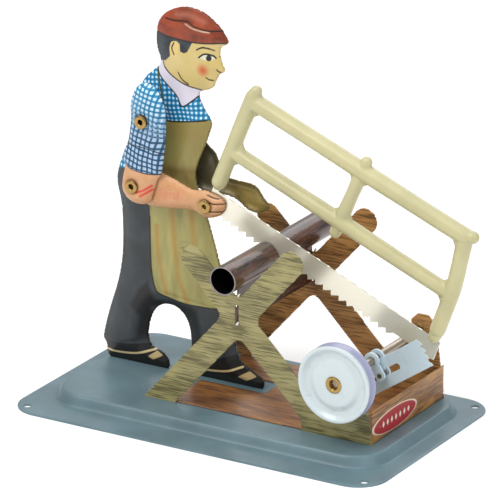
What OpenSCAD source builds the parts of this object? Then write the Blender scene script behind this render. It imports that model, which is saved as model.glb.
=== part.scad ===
// Lithographed tin workshop toy: a man saws a log on a sawhorse, driven by a belt pulley.
// +X runs along the base towards the pulley end, +Y towards the back, +Z up, in millimetres.
// The origin is the centre of the base plate's underside.

/* [Base plate] */
// Length of the pressed base plate
base_l = 130; // [128:1:134]
// Width of the base plate
base_w = 80; // [80:1:84]
// Height of the raised platform above the table
base_h = 4; // [3.8:0.1:4.2]
// Radius of the plate's corners
corner_r = 10; // [7:1:12]
// Thickness of the base sheet
base_t = 0.6; // [0.5:0.05:0.7]
// Diameter of the four fixing holes
fix_hole_d = 2.6; // [2:0.1:3]
// Distance of each fixing hole from both edges
fix_hole_inset = 5; // [4.6:0.1:5.4]

/* [Sawhorse] */
// Distance between the inner faces of the two X frames
frame_gap = 45.2; // [44.6:0.1:45.8]
// Inner face of the front frame, from the base's long axis
frame_front_y = -16.1; // [-16.4:0.1:-15.8]
// Thickness of the frame sheet
tin_t = 0.4; // [0.3:0.05:0.45]
// Width of each arm and leg of the X
arm_w = 8.4; // [7.6:0.1:9]
// Place of the X crossing along the base
cross_x = 4.7; // [4.2:0.1:5.2]
// Height of the end panel
panel_h = 11; // [9:0.5:12]

/* [Log] */
// Outside diameter of the rolled log
log_d = 9; // [8.4:0.1:9.4]
// Length of the log
log_l = 63.2; // [60:0.2:66]
// Height of the log's axis
log_z = 50.8; // [50.4:0.1:51.2]

/* [Saw] */
// Downward slope of the blade, in degrees
saw_tilt = 23.8; // [23:0.1:24.6]
// Middle plane of the blade
saw_y = 1.5; // [1.4:0.05:1.6]
// Blade width above the hand pivot's line
blade_top = 6.2; // [6:0.1:6.4]
// Length of the blade from the hand pivot
blade_l = 87; // [86.6:0.1:87.6]
// Pitch of the saw teeth
tooth_pitch = 3; // [2.5:0.5:3.5]
// Depth of the saw teeth
tooth_d = 1.55; // [1.2:0.05:1.6]
// Radius of the bow's middle rail
rail_r = 2.7; // [2.4:0.1:3]
// Radius of the bow's top rail
top_rail_r = 2.8; // [2.5:0.1:2.9]

/* [Drive] */
// Diameter of the belt pulley
pulley_d = 24.5; // [23:0.5:25]
// Width of the belt pulley
pulley_w = 4.9; // [4.5:0.1:5]
// Diameter of the axle
axle_d = 2.8; // [2.6:0.1:2.8]
// Place of the axle along the base
axle_x = 43; // [42.8:0.1:43.2]
// Height of the axle
axle_z = 24.5; // [24.3:0.1:24.7]
// Throw of the crank
crank_throw = 5.2; // [5:0.1:5.4]
// Slope of the yoke slot, in degrees
yoke_tilt = 34.3; // [33.8:0.1:34.8]
// Width of the yoke plate
yoke_w = 9.3; // [9:0.1:9.6]

/* [Figure] */
// Near face of the figure's front shell
figure_y = 5.1; // [5.05:0.05:5.3]
// Depth of each half shell
shell_depth = 2; // [1.8:0.1:2.4]
// Thickness of the shell sheet
shell_t = 0.4; // [0.35:0.05:0.5]
// Near face of the upper arm
upper_arm_y = -2.9; // [-3:0.05:-2.85]
// Near face of the forearm
forearm_y = -0.8; // [-0.85:0.05:-0.75]
// Depth of each arm shell
arm_depth = 1.7; // [1.5:0.1:1.7]
// Radius of the hollow rivets' barrels
rivet_r = 1.2; // [1.1:0.05:1.3]

/* [Hidden] */
$fn = 64;
eps = 0.01;
run_fit = 0.05;          // radial clearance of a running fit
slot_fit = 0.1;          // clearance round a tab in its slot
head_gap = 0.3;          // between a rivet head and a sheet that turns under it
frame_back_y = frame_front_y + frame_gap;
deck_z = base_h;         // top of the platform
foot_z = deck_z;
end_x = 52.1;            // right end of the frames
panel_x = 51.5;
frame_foot_left = -23.4; // centre line of the left leg at the floor
frame_foot_right = 37;   // centre line of the right leg at the floor
arm_end_left = [-10.9, 52.5];
arm_end_right = [23.6, 56.9];
shoulder = [-37.8, 87.9];
elbow = [-41.5, 66.2];
hand = [-16.3, 63.5];
figure_mid_y = figure_y + shell_depth;
figure_far_y = figure_y + 2 * shell_depth;
log_front_y = -24.9;
web_z = [33.8, 40.2];    // the slot at the crossing that holds the log's web
axle_r = axle_d / 2;
bearing_r = 1.9;
tab_w = 4;
tab_l = 1.5;
// Middles of the tabs that pass through the platform: along X for the frames and the shoes,
// along Y for the end panel
frame_tabs = [-23, 32, 47];
panel_tabs = [-9.5, 21.5];
shoe_tabs = [-46, -13];
blade_t = 0.4;
hole_play = 0.7;         // room for the hand rivet in the blade's hole
foot = [axle_x + crank_throw * sin(yoke_tilt), axle_z - crank_throw * cos(yoke_tilt)];
slot_half = crank_throw + 0.9;

// Outline of the figure seen from the front, clockwise from the back of the cap
figure_points = [
    [-37.7, 114.4], [-36.8, 118.4], [-33.6, 121.8], [-27.6, 124], [-21.2, 123.2], [-16, 120],
    [-12.9, 116.4], [-12.5, 114.4], [-14.7, 113.2], [-15.3, 110.8], [-14.6, 108], [-13.6, 105.6],
    [-15.4, 104.2], [-16.2, 102.8], [-17, 101.2], [-17.6, 99.8], [-19.6, 98.7], [-22, 97.8],
    [-22.8, 96], [-21.2, 92.6], [-18.4, 88.4], [-18.9, 85.4], [-21, 79.6], [-23.4, 73.8],
    [-24.2, 69.4], [-22.5, 63.5], [-19.4, 55.3], [-15.4, 42], [-11.6, 28.8],
    [-11.2, 26.4], [-10.2, 20], [-8.8, 12.8], [-4.2, 9.5], [-0.2, 7.4], [0.4, 5.2], [-1.6, 3.4],
    [-13.8, 3.2], [-23.8, 3.4], [-26, 5], [-26, 9], [-25.7, 14.5], [-26.2, 19.2], [-28, 23],
    [-31.4, 25.5], [-35.4, 25.6], [-38.8, 23.4], [-40.9, 19.5], [-41.8, 14.2], [-40.4, 10.6],
    [-36.4, 8.9], [-34.3, 6.6], [-35.2, 3.6], [-44.8, 3.2], [-53.8, 3.4], [-56.6, 5],
    [-57.1, 8.4], [-58.2, 11], [-55.6, 21], [-52.4, 31], [-50.7, 41.7], [-50.9, 55.5],
    [-52.6, 63.7], [-51.2, 70.5], [-48.2, 77.5], [-45.8, 85.5], [-44.4, 93.5], [-42.2, 98.9],
    [-38.6, 102.3], [-36.2, 105.2], [-37.6, 109.8]];
// Outline of the near upper arm with its rolled sleeve and bare elbow
upper_arm_points = [
    [-37.2, 100.4], [-33.6, 99.4], [-31, 96], [-29.7, 91.2], [-29.8, 83.4], [-30.6, 76],
    [-31.4, 71.8], [-32.6, 69.6], [-34.2, 65], [-35.4, 61.8], [-39, 60.6], [-43, 61.4],
    [-45.4, 64.4], [-45.2, 68.6], [-44.4, 72.4], [-45, 76.4], [-43.2, 80.8], [-42.2, 87.6],
    [-42.2, 93], [-40.4, 98]];
// Outline of the near forearm and hand
forearm_points = [
    [-43.4, 70.6], [-38, 72], [-32, 71.2], [-26.4, 69.6], [-21.2, 67.8], [-17.4, 68.4],
    [-14.8, 68], [-10.3, 66.4], [-9.9, 63.4], [-12, 60.8], [-16.8, 59.6], [-21.2, 61.2],
    [-27.4, 60.6], [-33.2, 60], [-38.6, 60.2], [-43.6, 61.8], [-45.8, 66.2]];
// Outline of the far arm, whose hand steadies the log
far_arm_points = [
    [-34.8, 94.8], [-30.2, 95], [-26.4, 88.8], [-22.2, 81.2], [-18, 77.4], [-15.4, 71.2],
    [-9.2, 70.2], [-4, 69.6], [-0.8, 66], [1.4, 63.4], [-2.4, 61], [-6.8, 61.4], [-10.4, 63.8],
    [-14.8, 64.8], [-22.2, 64.6], [-27.8, 67.8], [-32.6, 76.8], [-36, 88.8]];

// One point of a Catmull-Rom curve between b and c
function curve_point(a, b, c, d, t) =
    0.5 * (2 * b + (c - a) * t + (2 * a - 5 * b + 4 * c - d) * t * t
           + (3 * b - 3 * c + d - a) * t * t * t);
// A closed smooth outline through the points p, with n steps between neighbours
function smooth(p, n = 3) = [for (i = [0 : len(p) - 1]) for (k = [0 : n - 1])
    curve_point(p[(i + len(p) - 1) % len(p)], p[i], p[(i + 1) % len(p)],
                p[(i + 2) % len(p)], k / n)];

// ---- shared shapes ----

// A flat sheet standing in the XZ plane, from y0 to y0 + t
module sheet_xz(y0, t) {
    translate([0, y0 + t, 0]) rotate([90, 0, 0]) linear_extrude(t) children();
}

// A cylinder along Y, from y0 to y1, at p = [x, z]
module along_y(p, y0, y1, r) {
    translate([p[0], y0, p[1]]) rotate([-90, 0, 0]) cylinder(h = y1 - y0, r = r);
}

module rounded_rect(l, w, r) {
    square([l - 2 * r, w], center = true);
    square([l, w - 2 * r], center = true);
    for (sx = [-1, 1]) for (sy = [-1, 1])
        translate([sx * (l / 2 - r), sy * (w / 2 - r)]) circle(r = r);
}

// A half shell in the XZ plane, its wall at y0 and its rim dir * depth away
module half_shell(points, y0, depth, dir) {
    difference() {
        sheet_xz(dir > 0 ? y0 : y0 - depth, depth) polygon(points);
        sheet_xz(dir > 0 ? y0 + shell_t : y0 - depth - eps, depth - shell_t + eps)
            offset(delta = -shell_t) polygon(points);
    }
}

// A hollow rivet along Y: barrel from y0 to y1, a flange at each end
module eyelet(p, y0, y1, barrel_r, flange_r, bore_r, flange_t = 0.3) {
    difference() {
        union() {
            along_y(p, y0, y1, barrel_r);
            along_y(p, y0, y0 + flange_t, flange_r);
            along_y(p, y1 - flange_t, y1, flange_r);
        }
        along_y(p, y0 - eps, y1 + eps, bore_r);
    }
}

// Puts children drawn in the saw's own plane, s along the blade and h across it
module in_saw() {
    translate([hand[0], 0, hand[1]]) rotate([0, saw_tilt, 0]) children();
}

// Puts children drawn along the yoke slot, about the crank pin's rest place
module in_yoke() {
    translate([foot[0], 0, foot[1]]) rotate([0, -yoke_tilt, 0]) children();
}

// ---- base ----

// The raised platform as a frustum that is grown by g all round and lowered by drop
module platform(g, drop) {
    front_y = -27;
    back_y = 32;
    step = 1.5;
    top_l = base_l - 16 + 2 * g;
    top_w = back_y - front_y + 2 * g;
    mid_y = (front_y + back_y) / 2;
    hull() {
        translate([0, mid_y, -eps]) linear_extrude(eps)
            rounded_rect(top_l + 2 * step, top_w + 2 * step, 12, $fn = 32);
        translate([0, mid_y, deck_z - drop - eps]) linear_extrude(eps)
            rounded_rect(top_l, top_w, 10.5, $fn = 32);
    }
}

module base_plate() {
    color("lightslategray") difference() {
        union() {
            linear_extrude(base_t) rounded_rect(base_l, base_w, corner_r);
            intersection() {
                platform(0, 0);
                translate([-base_l, -base_w, 0]) cube([2 * base_l, 2 * base_w, 2 * base_h]);
            }
        }
        platform(-base_t, base_t);
        for (sx = [-1, 1]) for (sy = [-1, 1])
            translate([sx * (base_l / 2 - fix_hole_inset), sy * (base_w / 2 - fix_hole_inset), -1])
                cylinder(h = 3, d = fix_hole_d);
        for (x = frame_tabs) for (y = [frame_front_y - tin_t / 2, frame_back_y + tin_t / 2])
            tab_slot(x, y, tin_t, tab_w);
        for (y = panel_tabs) tab_slot(panel_x + tin_t / 2, y, tab_w, tin_t);
        for (x = shoe_tabs) tab_slot(x, figure_mid_y, 2 * shell_t, tab_w);
    }
}

// A slot through the platform for a tab of depth d along Y and width w along X
module tab_slot(x, y, d, w) {
    translate([x - w / 2 - slot_fit, y - d / 2 - slot_fit, base_h - 3])
        cube([w + 2 * slot_fit, d + 2 * slot_fit, 4]);
}

// ---- sawhorse ----

// Unit vector from p to q, and its left-hand normal
function unit(p, q) = (q - p) / norm(q - p);
function left_of(u) = [-u[1], u[0]];
// Where the line through p along u meets the line through q along v
function meet(p, u, q, v) =
    p + u * (((q - p)[0] * v[1] - (q - p)[1] * v[0]) / (u[0] * v[1] - u[1] * v[0]));
// The point of a line at height z, or at place x
function at_z(p, u, z) = p + u * ((z - p[1]) / u[1]);
function at_x(p, u, x) = p + u * ((x - p[0]) / u[0]);
// Half a turn, clockwise, round the free end of an arm that runs along u
function round_end(c, u, r) = [for (i = [0 : 12]) let (a = atan2(u[1], u[0]) + 90 - i * 15)
    c + r * [cos(a), sin(a)]];
// A soft inner corner at p, entered from a and left towards b
function soft_corner(p, a, b, r = 3) = [for (t = [0, 0.25, 0.5, 0.75, 1])
    (1 - t) * (1 - t) * (p + r * unit(p, a)) + 2 * t * (1 - t) * p + t * t * (p + r * unit(p, b))];
// A tab that hangs from the foot line at x, met from its right
function foot_tab(x) = [[x + tab_w / 2, foot_z], [x + tab_w / 2, foot_z - tab_l],
                        [x - tab_w / 2, foot_z - tab_l], [x - tab_w / 2, foot_z]];

// Outline of one X frame with the bearing lug at its right
module frame_2d() {
    h = arm_w / 2;
    right_foot = [frame_foot_right + 4, foot_z - 4.08];
    left_foot = [frame_foot_left - 3.4, foot_z - 4];
    u1 = unit(right_foot, arm_end_left);
    u2 = unit(left_foot, arm_end_right);
    low1 = right_foot + h * left_of(u1);
    high1 = right_foot - h * left_of(u1);
    high2 = left_foot + h * left_of(u2);
    low2 = left_foot - h * left_of(u2);
    left_notch = meet(high2, u2, low1, u1);
    top_notch = meet(high1, u1, high2, u2);
    right_notch = meet(low2, u2, high1, u1);
    crotch = meet(low1, u1, low2, u2);
    difference() {
        polygon(concat(
            [at_z(high2, u2, foot_z)],
            soft_corner(left_notch, high2, arm_end_left + h * left_of(u1)),
            round_end(arm_end_left, u1, h),
            soft_corner(top_notch, arm_end_left - h * left_of(u1),
                        arm_end_right + h * left_of(u2)),
            round_end(arm_end_right, u2, h),
            soft_corner(right_notch, arm_end_right - h * left_of(u2), high1),
            [at_x(high1, u1, 31.3), [39.4, 21.6], [40.4, 28.2], [42.4, 30.2], [46.6, 30.2],
             [48.3, 28.4], [50, 19.5], [50.9, 13.2], [end_x, foot_z]],
            foot_tab(frame_tabs[2]), foot_tab(frame_tabs[1]),
            [[27.5, foot_z], at_x(low1, u1, 27.5)],
            soft_corner(crotch, low1, low2),
            [at_z(low2, u2, foot_z)],
            foot_tab(frame_tabs[0])));
        translate([axle_x, axle_z]) circle(r = bearing_r);
        translate([cross_x - 0.6, web_z[0] - slot_fit])
            square([1.2, web_z[1] - web_z[0] + 2 * slot_fit]);
    }
}

module front_frame() {
    color("olive") sheet_xz(frame_front_y - tin_t, tin_t) frame_2d();
}

module back_frame() {
    color("saddlebrown") sheet_xz(frame_back_y, tin_t) frame_2d();
}

// The floor sheet between the frames, notched for the figure's front foot
module floor_tray() {
    color("sienna") difference() {
        translate([-20, frame_front_y, deck_z]) cube([panel_x + 20, frame_gap, tin_t]);
        translate([-21, figure_y - 2, deck_z - 1]) cube([24, 2 * shell_depth + 4, 3]);
    }
}

module end_panel() {
    color("peru") {
        translate([panel_x, frame_front_y, deck_z]) cube([tin_t, frame_gap, panel_h]);
        for (y = panel_tabs)
            translate([panel_x, y - tab_w / 2, deck_z - tab_l]) cube([tin_t, tab_w, tab_l + 1]);
    }
}

// The plain oval badge, cut off by the front frame
module oval_label() {
    label_y = -2;
    label_z = 8.4;
    color("firebrick") intersection() {
        translate([panel_x + tin_t, label_y, label_z]) rotate([0, 90, 0])
            linear_extrude(0.12) polygon([for (a = [0 : 7.5 : 352.5]) [3.6 * sin(a), 14 * cos(a)]]);
        translate([panel_x, frame_front_y, deck_z]) cube([2, frame_gap, 20]);
    }
}

// ---- log ----

// A rolled tube whose joined edges hang down as a web, tabbed through both frames
module log_tube() {
    tab_reach = 2;
    color("rosybrown") difference() {
        union() {
            along_y([cross_x, log_z], log_front_y, log_front_y + log_l, log_d / 2);
            translate([cross_x - 0.35, frame_front_y + 0.3, web_z[0]])
                cube([0.7, frame_gap - 0.6, log_z - web_z[0] - 2]);
            translate([cross_x - 0.35, frame_front_y - tab_reach, web_z[0]])
                cube([0.7, frame_gap + 2 * tab_reach, web_z[1] - web_z[0]]);
        }
        along_y([cross_x, log_z], log_front_y - 1, log_front_y + log_l + 1, log_d / 2 - 0.35);
        // the kerf that the blade runs in
        in_saw() translate([0, saw_y - 0.6, -2.7]) cube([60, 1.2, 20]);
    }
}

// ---- figure ----

module figure_2d() {
    intersection() {
        polygon(smooth(figure_points));
        translate([-80, foot_z]) square([120, 130]);
    }
}

// One stamped half of the figure, open towards the middle plane
module figure_half(wall_y, dir) {
    y0 = dir > 0 ? wall_y : wall_y - shell_depth;
    inner_y = dir > 0 ? wall_y + shell_t : wall_y - shell_depth - eps;
    difference() {
        sheet_xz(y0, shell_depth) figure_2d();
        sheet_xz(inner_y, shell_depth - shell_t + eps) offset(delta = -shell_t) figure_2d();
        along_y(shoulder, wall_y - 1, wall_y + 1, rivet_r);
    }
    for (x = shoe_tabs)
        translate([x - tab_w / 2, dir > 0 ? figure_mid_y - shell_t : figure_mid_y,
                   foot_z - tab_l]) cube([tab_w, shell_t, tab_l + 0.3]);
}

module figure_front_shell() {
    color("darkkhaki") figure_half(figure_y, 1);
}

module figure_back_shell() {
    color("goldenrod") figure_half(figure_far_y, -1);
}

module far_arm() {
    color("olivedrab") difference() {
        half_shell(smooth(far_arm_points), figure_far_y + arm_depth, arm_depth, -1);
        along_y([-32.6, 88.6], figure_far_y, figure_far_y + 3, rivet_r);
    }
}

module far_arm_rivet() {
    color("gold") eyelet([-32.6, 88.6], figure_far_y, figure_far_y + arm_depth + 0.3, rivet_r,
                         rivet_r + 0.7, rivet_r - 0.4);
}

module shoulder_rivet() {
    color("gold") eyelet(shoulder, upper_arm_y - head_gap - 0.3, figure_y + shell_t + 0.3, rivet_r,
                         rivet_r + 0.9, rivet_r - 0.4);
}

module shoulder_spacer() {
    color("silver") difference() {
        along_y(shoulder, upper_arm_y + shell_t + head_gap, figure_y, 2.4);
        along_y(shoulder, upper_arm_y, figure_y + 1, rivet_r);
    }
}

module upper_arm() {
    color("steelblue") difference() {
        half_shell(smooth(upper_arm_points), upper_arm_y, arm_depth, 1);
        along_y(shoulder, upper_arm_y - 1, upper_arm_y + 1, rivet_r + run_fit);
        along_y(elbow, upper_arm_y - 1, upper_arm_y + 1, rivet_r);
    }
}

module elbow_rivet() {
    color("gold") eyelet(elbow, upper_arm_y - 0.3, forearm_y + shell_t + head_gap + 0.3, rivet_r,
                         rivet_r + 0.9, rivet_r - 0.4);
}

module forearm() {
    color("darksalmon") difference() {
        half_shell(smooth(forearm_points), forearm_y, arm_depth, 1);
        along_y(elbow, forearm_y - 1, forearm_y + 1, rivet_r + run_fit);
        along_y(hand, forearm_y - 1, forearm_y + 1, rivet_r - 0.2);
    }
}

// Fixed in the hand, and loose in the blade's larger hole
module hand_rivet() {
    barrel_r = rivet_r - 0.2;
    tail_y = saw_y + blade_t / 2 + head_gap;
    color("gold") eyelet(hand, forearm_y - 0.3, tail_y + 0.3, barrel_r, barrel_r + 1.5,
                         barrel_r - 0.4);
}

// ---- saw ----

module saw_blade() {
    root_h = -0.35;
    tooth_count = floor(69 / tooth_pitch);
    lug_r = 3.7;
    color("gainsboro") in_saw() difference() {
        union() {
            sheet_xz(saw_y - blade_t / 2, blade_t) {
                circle(r = lug_r);
                polygon([[-2.6, 0], [-1, root_h], [blade_l, root_h], [blade_l - 0.3, blade_top],
                         [0.6, blade_top], [-2.6, 2.6]]);
                for (i = [0 : tooth_count - 1])
                    translate([3.6 + i * tooth_pitch, 0])
                        polygon([[-0.23 * tooth_pitch, root_h], [0, root_h - tooth_d],
                                 [0.77 * tooth_pitch, root_h], [0.5 * tooth_pitch, 1],
                                 [0, 1]]);
                for (s = [0.4, 84.2]) translate([s - 1.1, blade_top - 1]) square([2.2, 4]);
            }
        }
        along_y([0, 0], saw_y - 1, saw_y + 1, rivet_r - 0.2 + hole_play);
    }
}

// A round rail of the bow from p to q
module rail(p, q, r) {
    d = q - p;
    translate([p[0], saw_y, p[1]]) rotate([0, atan2(d[0], d[1]), 0]) cylinder(h = norm(d), r = r);
}

// A ball a little larger than the rails that meet in it
module knuckle(p, r) {
    translate([p[0], saw_y, p[1]]) sphere(r = r + 0.2);
}

// The moulded bow: two arms, two rails and a strut, in one piece
module saw_bow() {
    arm_r = 2.5;
    right_r = 2.6;
    left_top = [-0.2, 42.9];
    right_points = [[84.2, 6.8], [83.2, 24], [81.8, 32], [79.8, 41.7]];
    strut_s = 41.5;
    color("beige") in_saw() difference() {
        union() {
            rail([0.4, 6.8], left_top, arm_r);
            knuckle(left_top, arm_r);
            rail([0, 21], [83.2, 22.4], rail_r);
            rail([0, 39.7], [79.8, 41.7], top_rail_r);
            knuckle(right_points[3], top_rail_r);
            for (i = [0 : 2]) rail(right_points[i], right_points[i + 1], right_r);
            for (i = [1 : 2]) knuckle(right_points[i], right_r);
            rail([strut_s, 16.2], [strut_s, 45.6], 2.3);
            rail([79.8, 41.7], [82.2, 43.2], right_r);
        }
        for (s = [0.4, 84.2])
            translate([s - 1.2, saw_y - blade_t / 2 - 0.05, 5]) cube([2.4, blade_t + 0.1, 4.3]);
    }
}

// The slotted plate that the crank pin drives, spot-welded to the blade's end
module yoke_plate() {
    yoke_t = 0.4;
    left = -8.5;
    right = 16.8;
    steps = 4;
    step_w = yoke_w / steps;
    color("lightsteelblue") in_yoke() difference() {
        sheet_xz(saw_y - blade_t / 2 - yoke_t, yoke_t) {
            translate([left, -yoke_w / 2]) square([right - left, yoke_w]);
            for (i = [0 : steps - 1])
                translate([right - 0.5, -yoke_w / 2 + i * step_w])
                    polygon([[0, 0], [1.7, 0], [0.7, step_w], [0, step_w]]);
        }
        sheet_xz(saw_y - 3, 5) {
            translate([-slot_half, -1]) square([2 * slot_half, 2]);
            for (e = [-1, 1]) translate([e * slot_half, 0]) circle(r = 1);
        }
    }
}

// ---- drive ----

module bearing(y) {
    color("gold") eyelet([axle_x, axle_z], y - 0.3, y + tin_t + 0.3, bearing_r, bearing_r + 0.6,
                         axle_r + run_fit);
}

module front_bearing() { bearing(frame_front_y - tin_t); }

module rear_bearing() { bearing(frame_back_y); }

pulley_y = -24.5;        // front face of the pulley

// A dished belt pulley with a V groove
module pulley() {
    r = pulley_d / 2;
    w = pulley_w;
    color("whitesmoke") translate([axle_x, pulley_y, axle_z]) rotate([-90, 0, 0])
        rotate_extrude() polygon([
            [bearing_r, 0.5], [7.6, 0.5], [8.8, 1.5], [10.2, 1.3], [r - 0.9, 0], [r, 0], [r, 0.9],
            [r - 1.9, 0.42 * w], [r - 1.9, 0.58 * w], [r, w - 0.9], [r, w], [r - 1, w],
            [r - 2.6, w - 1.2], [4.4, w - 1.2], [3.6, w], [bearing_r, w]]);
}

module hub_eyelet() {
    color("gold") eyelet([axle_x, axle_z], pulley_y + 0.2, pulley_y + pulley_w + 0.3, bearing_r,
                         bearing_r + 0.8, axle_r);
}

module front_axle() {
    color("silver") along_y([axle_x, axle_z], pulley_y + 1.6, -0.1, axle_r);
}

// A turned collar with a bore for the axle
module collar(y0, y1) {
    color("gold") difference() {
        along_y([axle_x, axle_z], y0, y1, 2.6);
        along_y([axle_x, axle_z], y0 - 1, y1 + 1, axle_r);
    }
}

module front_collar() {
    collar(pulley_y + pulley_w + 0.3, frame_front_y - tin_t - 0.3 - head_gap);
}

module rear_collar() { collar(frame_back_y + tin_t + 0.3 + head_gap, frame_back_y + tin_t + 2.4); }

web_front = [-1, -0.1];
web_back = [2.4, 3.3];

// The crank cheek from the axle to the pin's place
module cheek(y, pin_hole_r) {
    color("silver") difference() {
        sheet_xz(y[0], y[1] - y[0]) {
            translate([axle_x, axle_z]) circle(r = 2.6);
            translate(foot) circle(r = 1.7);
            translate([axle_x, axle_z]) rotate(yoke_tilt - 90) translate([0, -1.7])
                square([crank_throw, 3.4]);
        }
        along_y([axle_x, axle_z], y[0] - 1, y[1] + 1, axle_r);
        along_y(foot, y[0] - 1, y[1] + 1, pin_hole_r);
    }
}

module crank_web() { cheek(web_front, 0.8); }

// The pin is left open where the yoke plate passes, so it stands as two stubs
module crank_pin() {
    yoke_front = saw_y - blade_t / 2 - 0.4;
    color("silver") {
        along_y(foot, web_front[0], yoke_front - head_gap, 0.8);
        along_y(foot, yoke_front + 0.4 + head_gap, web_back[1], 0.8);
    }
}

module rear_web() { cheek(web_back, 0.8); }

module rear_axle() {
    color("silver") along_y([axle_x, axle_z], web_back[0], frame_back_y + tin_t + 3, axle_r);
}

base_plate();
front_frame();
back_frame();
floor_tray();
end_panel();
oval_label();
log_tube();
figure_front_shell();
figure_back_shell();
far_arm();
far_arm_rivet();
shoulder_rivet();
shoulder_spacer();
upper_arm();
elbow_rivet();
forearm();
hand_rivet();
saw_blade();
saw_bow();
yoke_plate();
front_bearing();
rear_bearing();
pulley();
hub_eyelet();
front_axle();
front_collar();
crank_web();
crank_pin();
rear_axle();
rear_web();
rear_collar();
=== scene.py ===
"""Looks of a lithographed tin workshop toy: a man saws a log, driven by a belt pulley.

Every piece is built in millimetres in the object's own frame (+X towards the pulley end, +Z up)
and stored in metres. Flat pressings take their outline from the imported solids.
"""

import math

import bmesh
import bpy
import numpy as np
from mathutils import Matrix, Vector


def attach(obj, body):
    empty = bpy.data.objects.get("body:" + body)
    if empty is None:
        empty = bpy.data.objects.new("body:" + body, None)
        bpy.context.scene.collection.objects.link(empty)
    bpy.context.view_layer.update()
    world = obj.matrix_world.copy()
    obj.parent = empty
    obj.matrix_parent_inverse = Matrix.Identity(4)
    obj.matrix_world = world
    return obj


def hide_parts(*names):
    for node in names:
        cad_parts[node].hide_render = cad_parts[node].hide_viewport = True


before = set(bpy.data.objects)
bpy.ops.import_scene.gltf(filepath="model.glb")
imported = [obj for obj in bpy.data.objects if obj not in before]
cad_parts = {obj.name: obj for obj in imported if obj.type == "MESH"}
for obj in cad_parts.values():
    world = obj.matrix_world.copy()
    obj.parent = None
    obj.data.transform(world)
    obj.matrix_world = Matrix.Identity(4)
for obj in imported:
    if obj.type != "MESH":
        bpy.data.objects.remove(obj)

bl_info = {
    "name": "Tin Toy Sawyer",
    "version": (1, 0, 0),
    "blender": (4, 5, 0),
    "location": "View3D > Sidebar > Tin Toy",
    "description": "Builds the looks of a tin sawing figure on its base",
    "category": "Object",
}

MM = 0.001
TILT = math.radians(23.8)  # slope of the blade
HAND = np.array([-16.3, 63.5])  # hand pivot, (x, z)
AXLE = np.array([43.0, 24.5])
SHOULDER = (-37.8, 87.9)
ELBOW = (-41.5, 66.2)
FAR_ARM_PIN = (-32.6, 88.6)
CRANK_PIN = (45.93, 20.205)
TRAY = (130, 80)
FIXING_HOLES = (60, 35)  # from the tray's middle, (x, y)
FRONT_FRAME = -16.5  # y of the front frame's front face
BACK_FRAME = 29.1
PULLEY_FRONT = -24.5
SHEET = 0.4
BADGE_Z = 8.4
END_PANEL = 51.9  # x of the end panel's outer face
LOG = np.array([4.7, 50.8])
LOG_R = 4.5
LOG_ENDS = (-24.9, 38.3)
KERF = (0.9, 2.1)


# ---------------------------------------------------------------- shapes


def face_loops(node, y):
    """Outlines (n x 2, mm) of a solid's flat face at depth y: edges whose reverse is absent."""
    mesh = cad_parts[node].data
    co = np.empty(len(mesh.vertices) * 3)
    mesh.vertices.foreach_get("co", co)
    co = co.reshape(-1, 3) / MM
    mesh.calc_loop_triangles()
    tris = np.empty(len(mesh.loop_triangles) * 3, int)
    mesh.loop_triangles.foreach_get("vertices", tris)
    tris = tris.reshape(-1, 3)
    keys = np.round(co[:, [0, 2]] / 0.004).astype(np.int64)
    _, first, joined = np.unique(keys, axis=0, return_index=True, return_inverse=True)
    joined = joined.ravel()
    flat = tris[(np.abs(co[:, 1] - y) < 0.03)[tris].all(1)]
    flat = joined[flat]
    edges = np.concatenate([flat[:, [0, 1]], flat[:, [1, 2]], flat[:, [2, 0]]])
    edges = edges[edges[:, 0] != edges[:, 1]]
    size = len(first)
    rim = edges[~np.isin(edges[:, 0] * size + edges[:, 1], edges[:, 1] * size + edges[:, 0])]
    after = dict(rim.tolist())
    loops = []
    while after:
        here = next(iter(after))
        loop = []
        while here in after:
            loop.append(here)
            here = after.pop(here)
        if len(loop) > 2:
            loops.append(co[first[loop]][:, [0, 2]])
    return loops


def signed_distance(points, loops):
    """Distance to the nearest loop edge, negative inside by the even-odd rule."""
    best = np.full(len(points), np.inf)
    inside = np.zeros(len(points), bool)
    x, z = points[:, 0], points[:, 1]
    for loop in loops:
        for p, q in zip(loop, np.roll(loop, -1, 0)):
            d = q - p
            length = float(d @ d)
            if length < 1e-12:
                continue
            t = np.clip(((x - p[0]) * d[0] + (z - p[1]) * d[1]) / length, 0, 1)
            best = np.minimum(best, (x - p[0] - t * d[0]) ** 2 + (z - p[1] - t * d[1]) ** 2)
            if p[1] != q[1]:
                inside ^= ((p[1] > z) != (q[1] > z)) & (x < p[0] + d[0] * (z - p[1]) / d[1])
    return np.where(inside, -1, 1) * np.sqrt(best)


def line_distance(points, line):
    """Distance to an open line of points."""
    line = np.asarray(line, float)
    best = np.full(len(points), np.inf)
    for p, q in zip(line[:-1], line[1:]):
        d = q - p
        t = np.clip(((points - p) @ d) / (d @ d), 0, 1)
        best = np.minimum(best, ((points - p - t[:, None] * d) ** 2).sum(1))
    return np.sqrt(best)


def curve(points, closed=False, steps=6):
    """Catmull-Rom curve through the points, with steps samples between neighbours."""
    p = np.asarray(points, float)
    if closed:
        p = np.concatenate([p[-1:], p, p[:2]])
    else:
        p = np.concatenate([2 * p[:1] - p[1:2], p, 2 * p[-1:] - p[-2:-1]])
    a, b, c, d = p[:-3, None], p[1:-2, None], p[2:-1, None], p[3:, None]
    t = (np.arange(steps) / steps)[None, :, None]
    out = 0.5 * (2 * b + (c - a) * t + (2 * a - 5 * b + 4 * c - d) * t**2
                 + (3 * b - 3 * c + d - a) * t**3)
    out = out.reshape(-1, p.shape[1])
    return out if closed else np.concatenate([out, p[-2:-1]])


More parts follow.
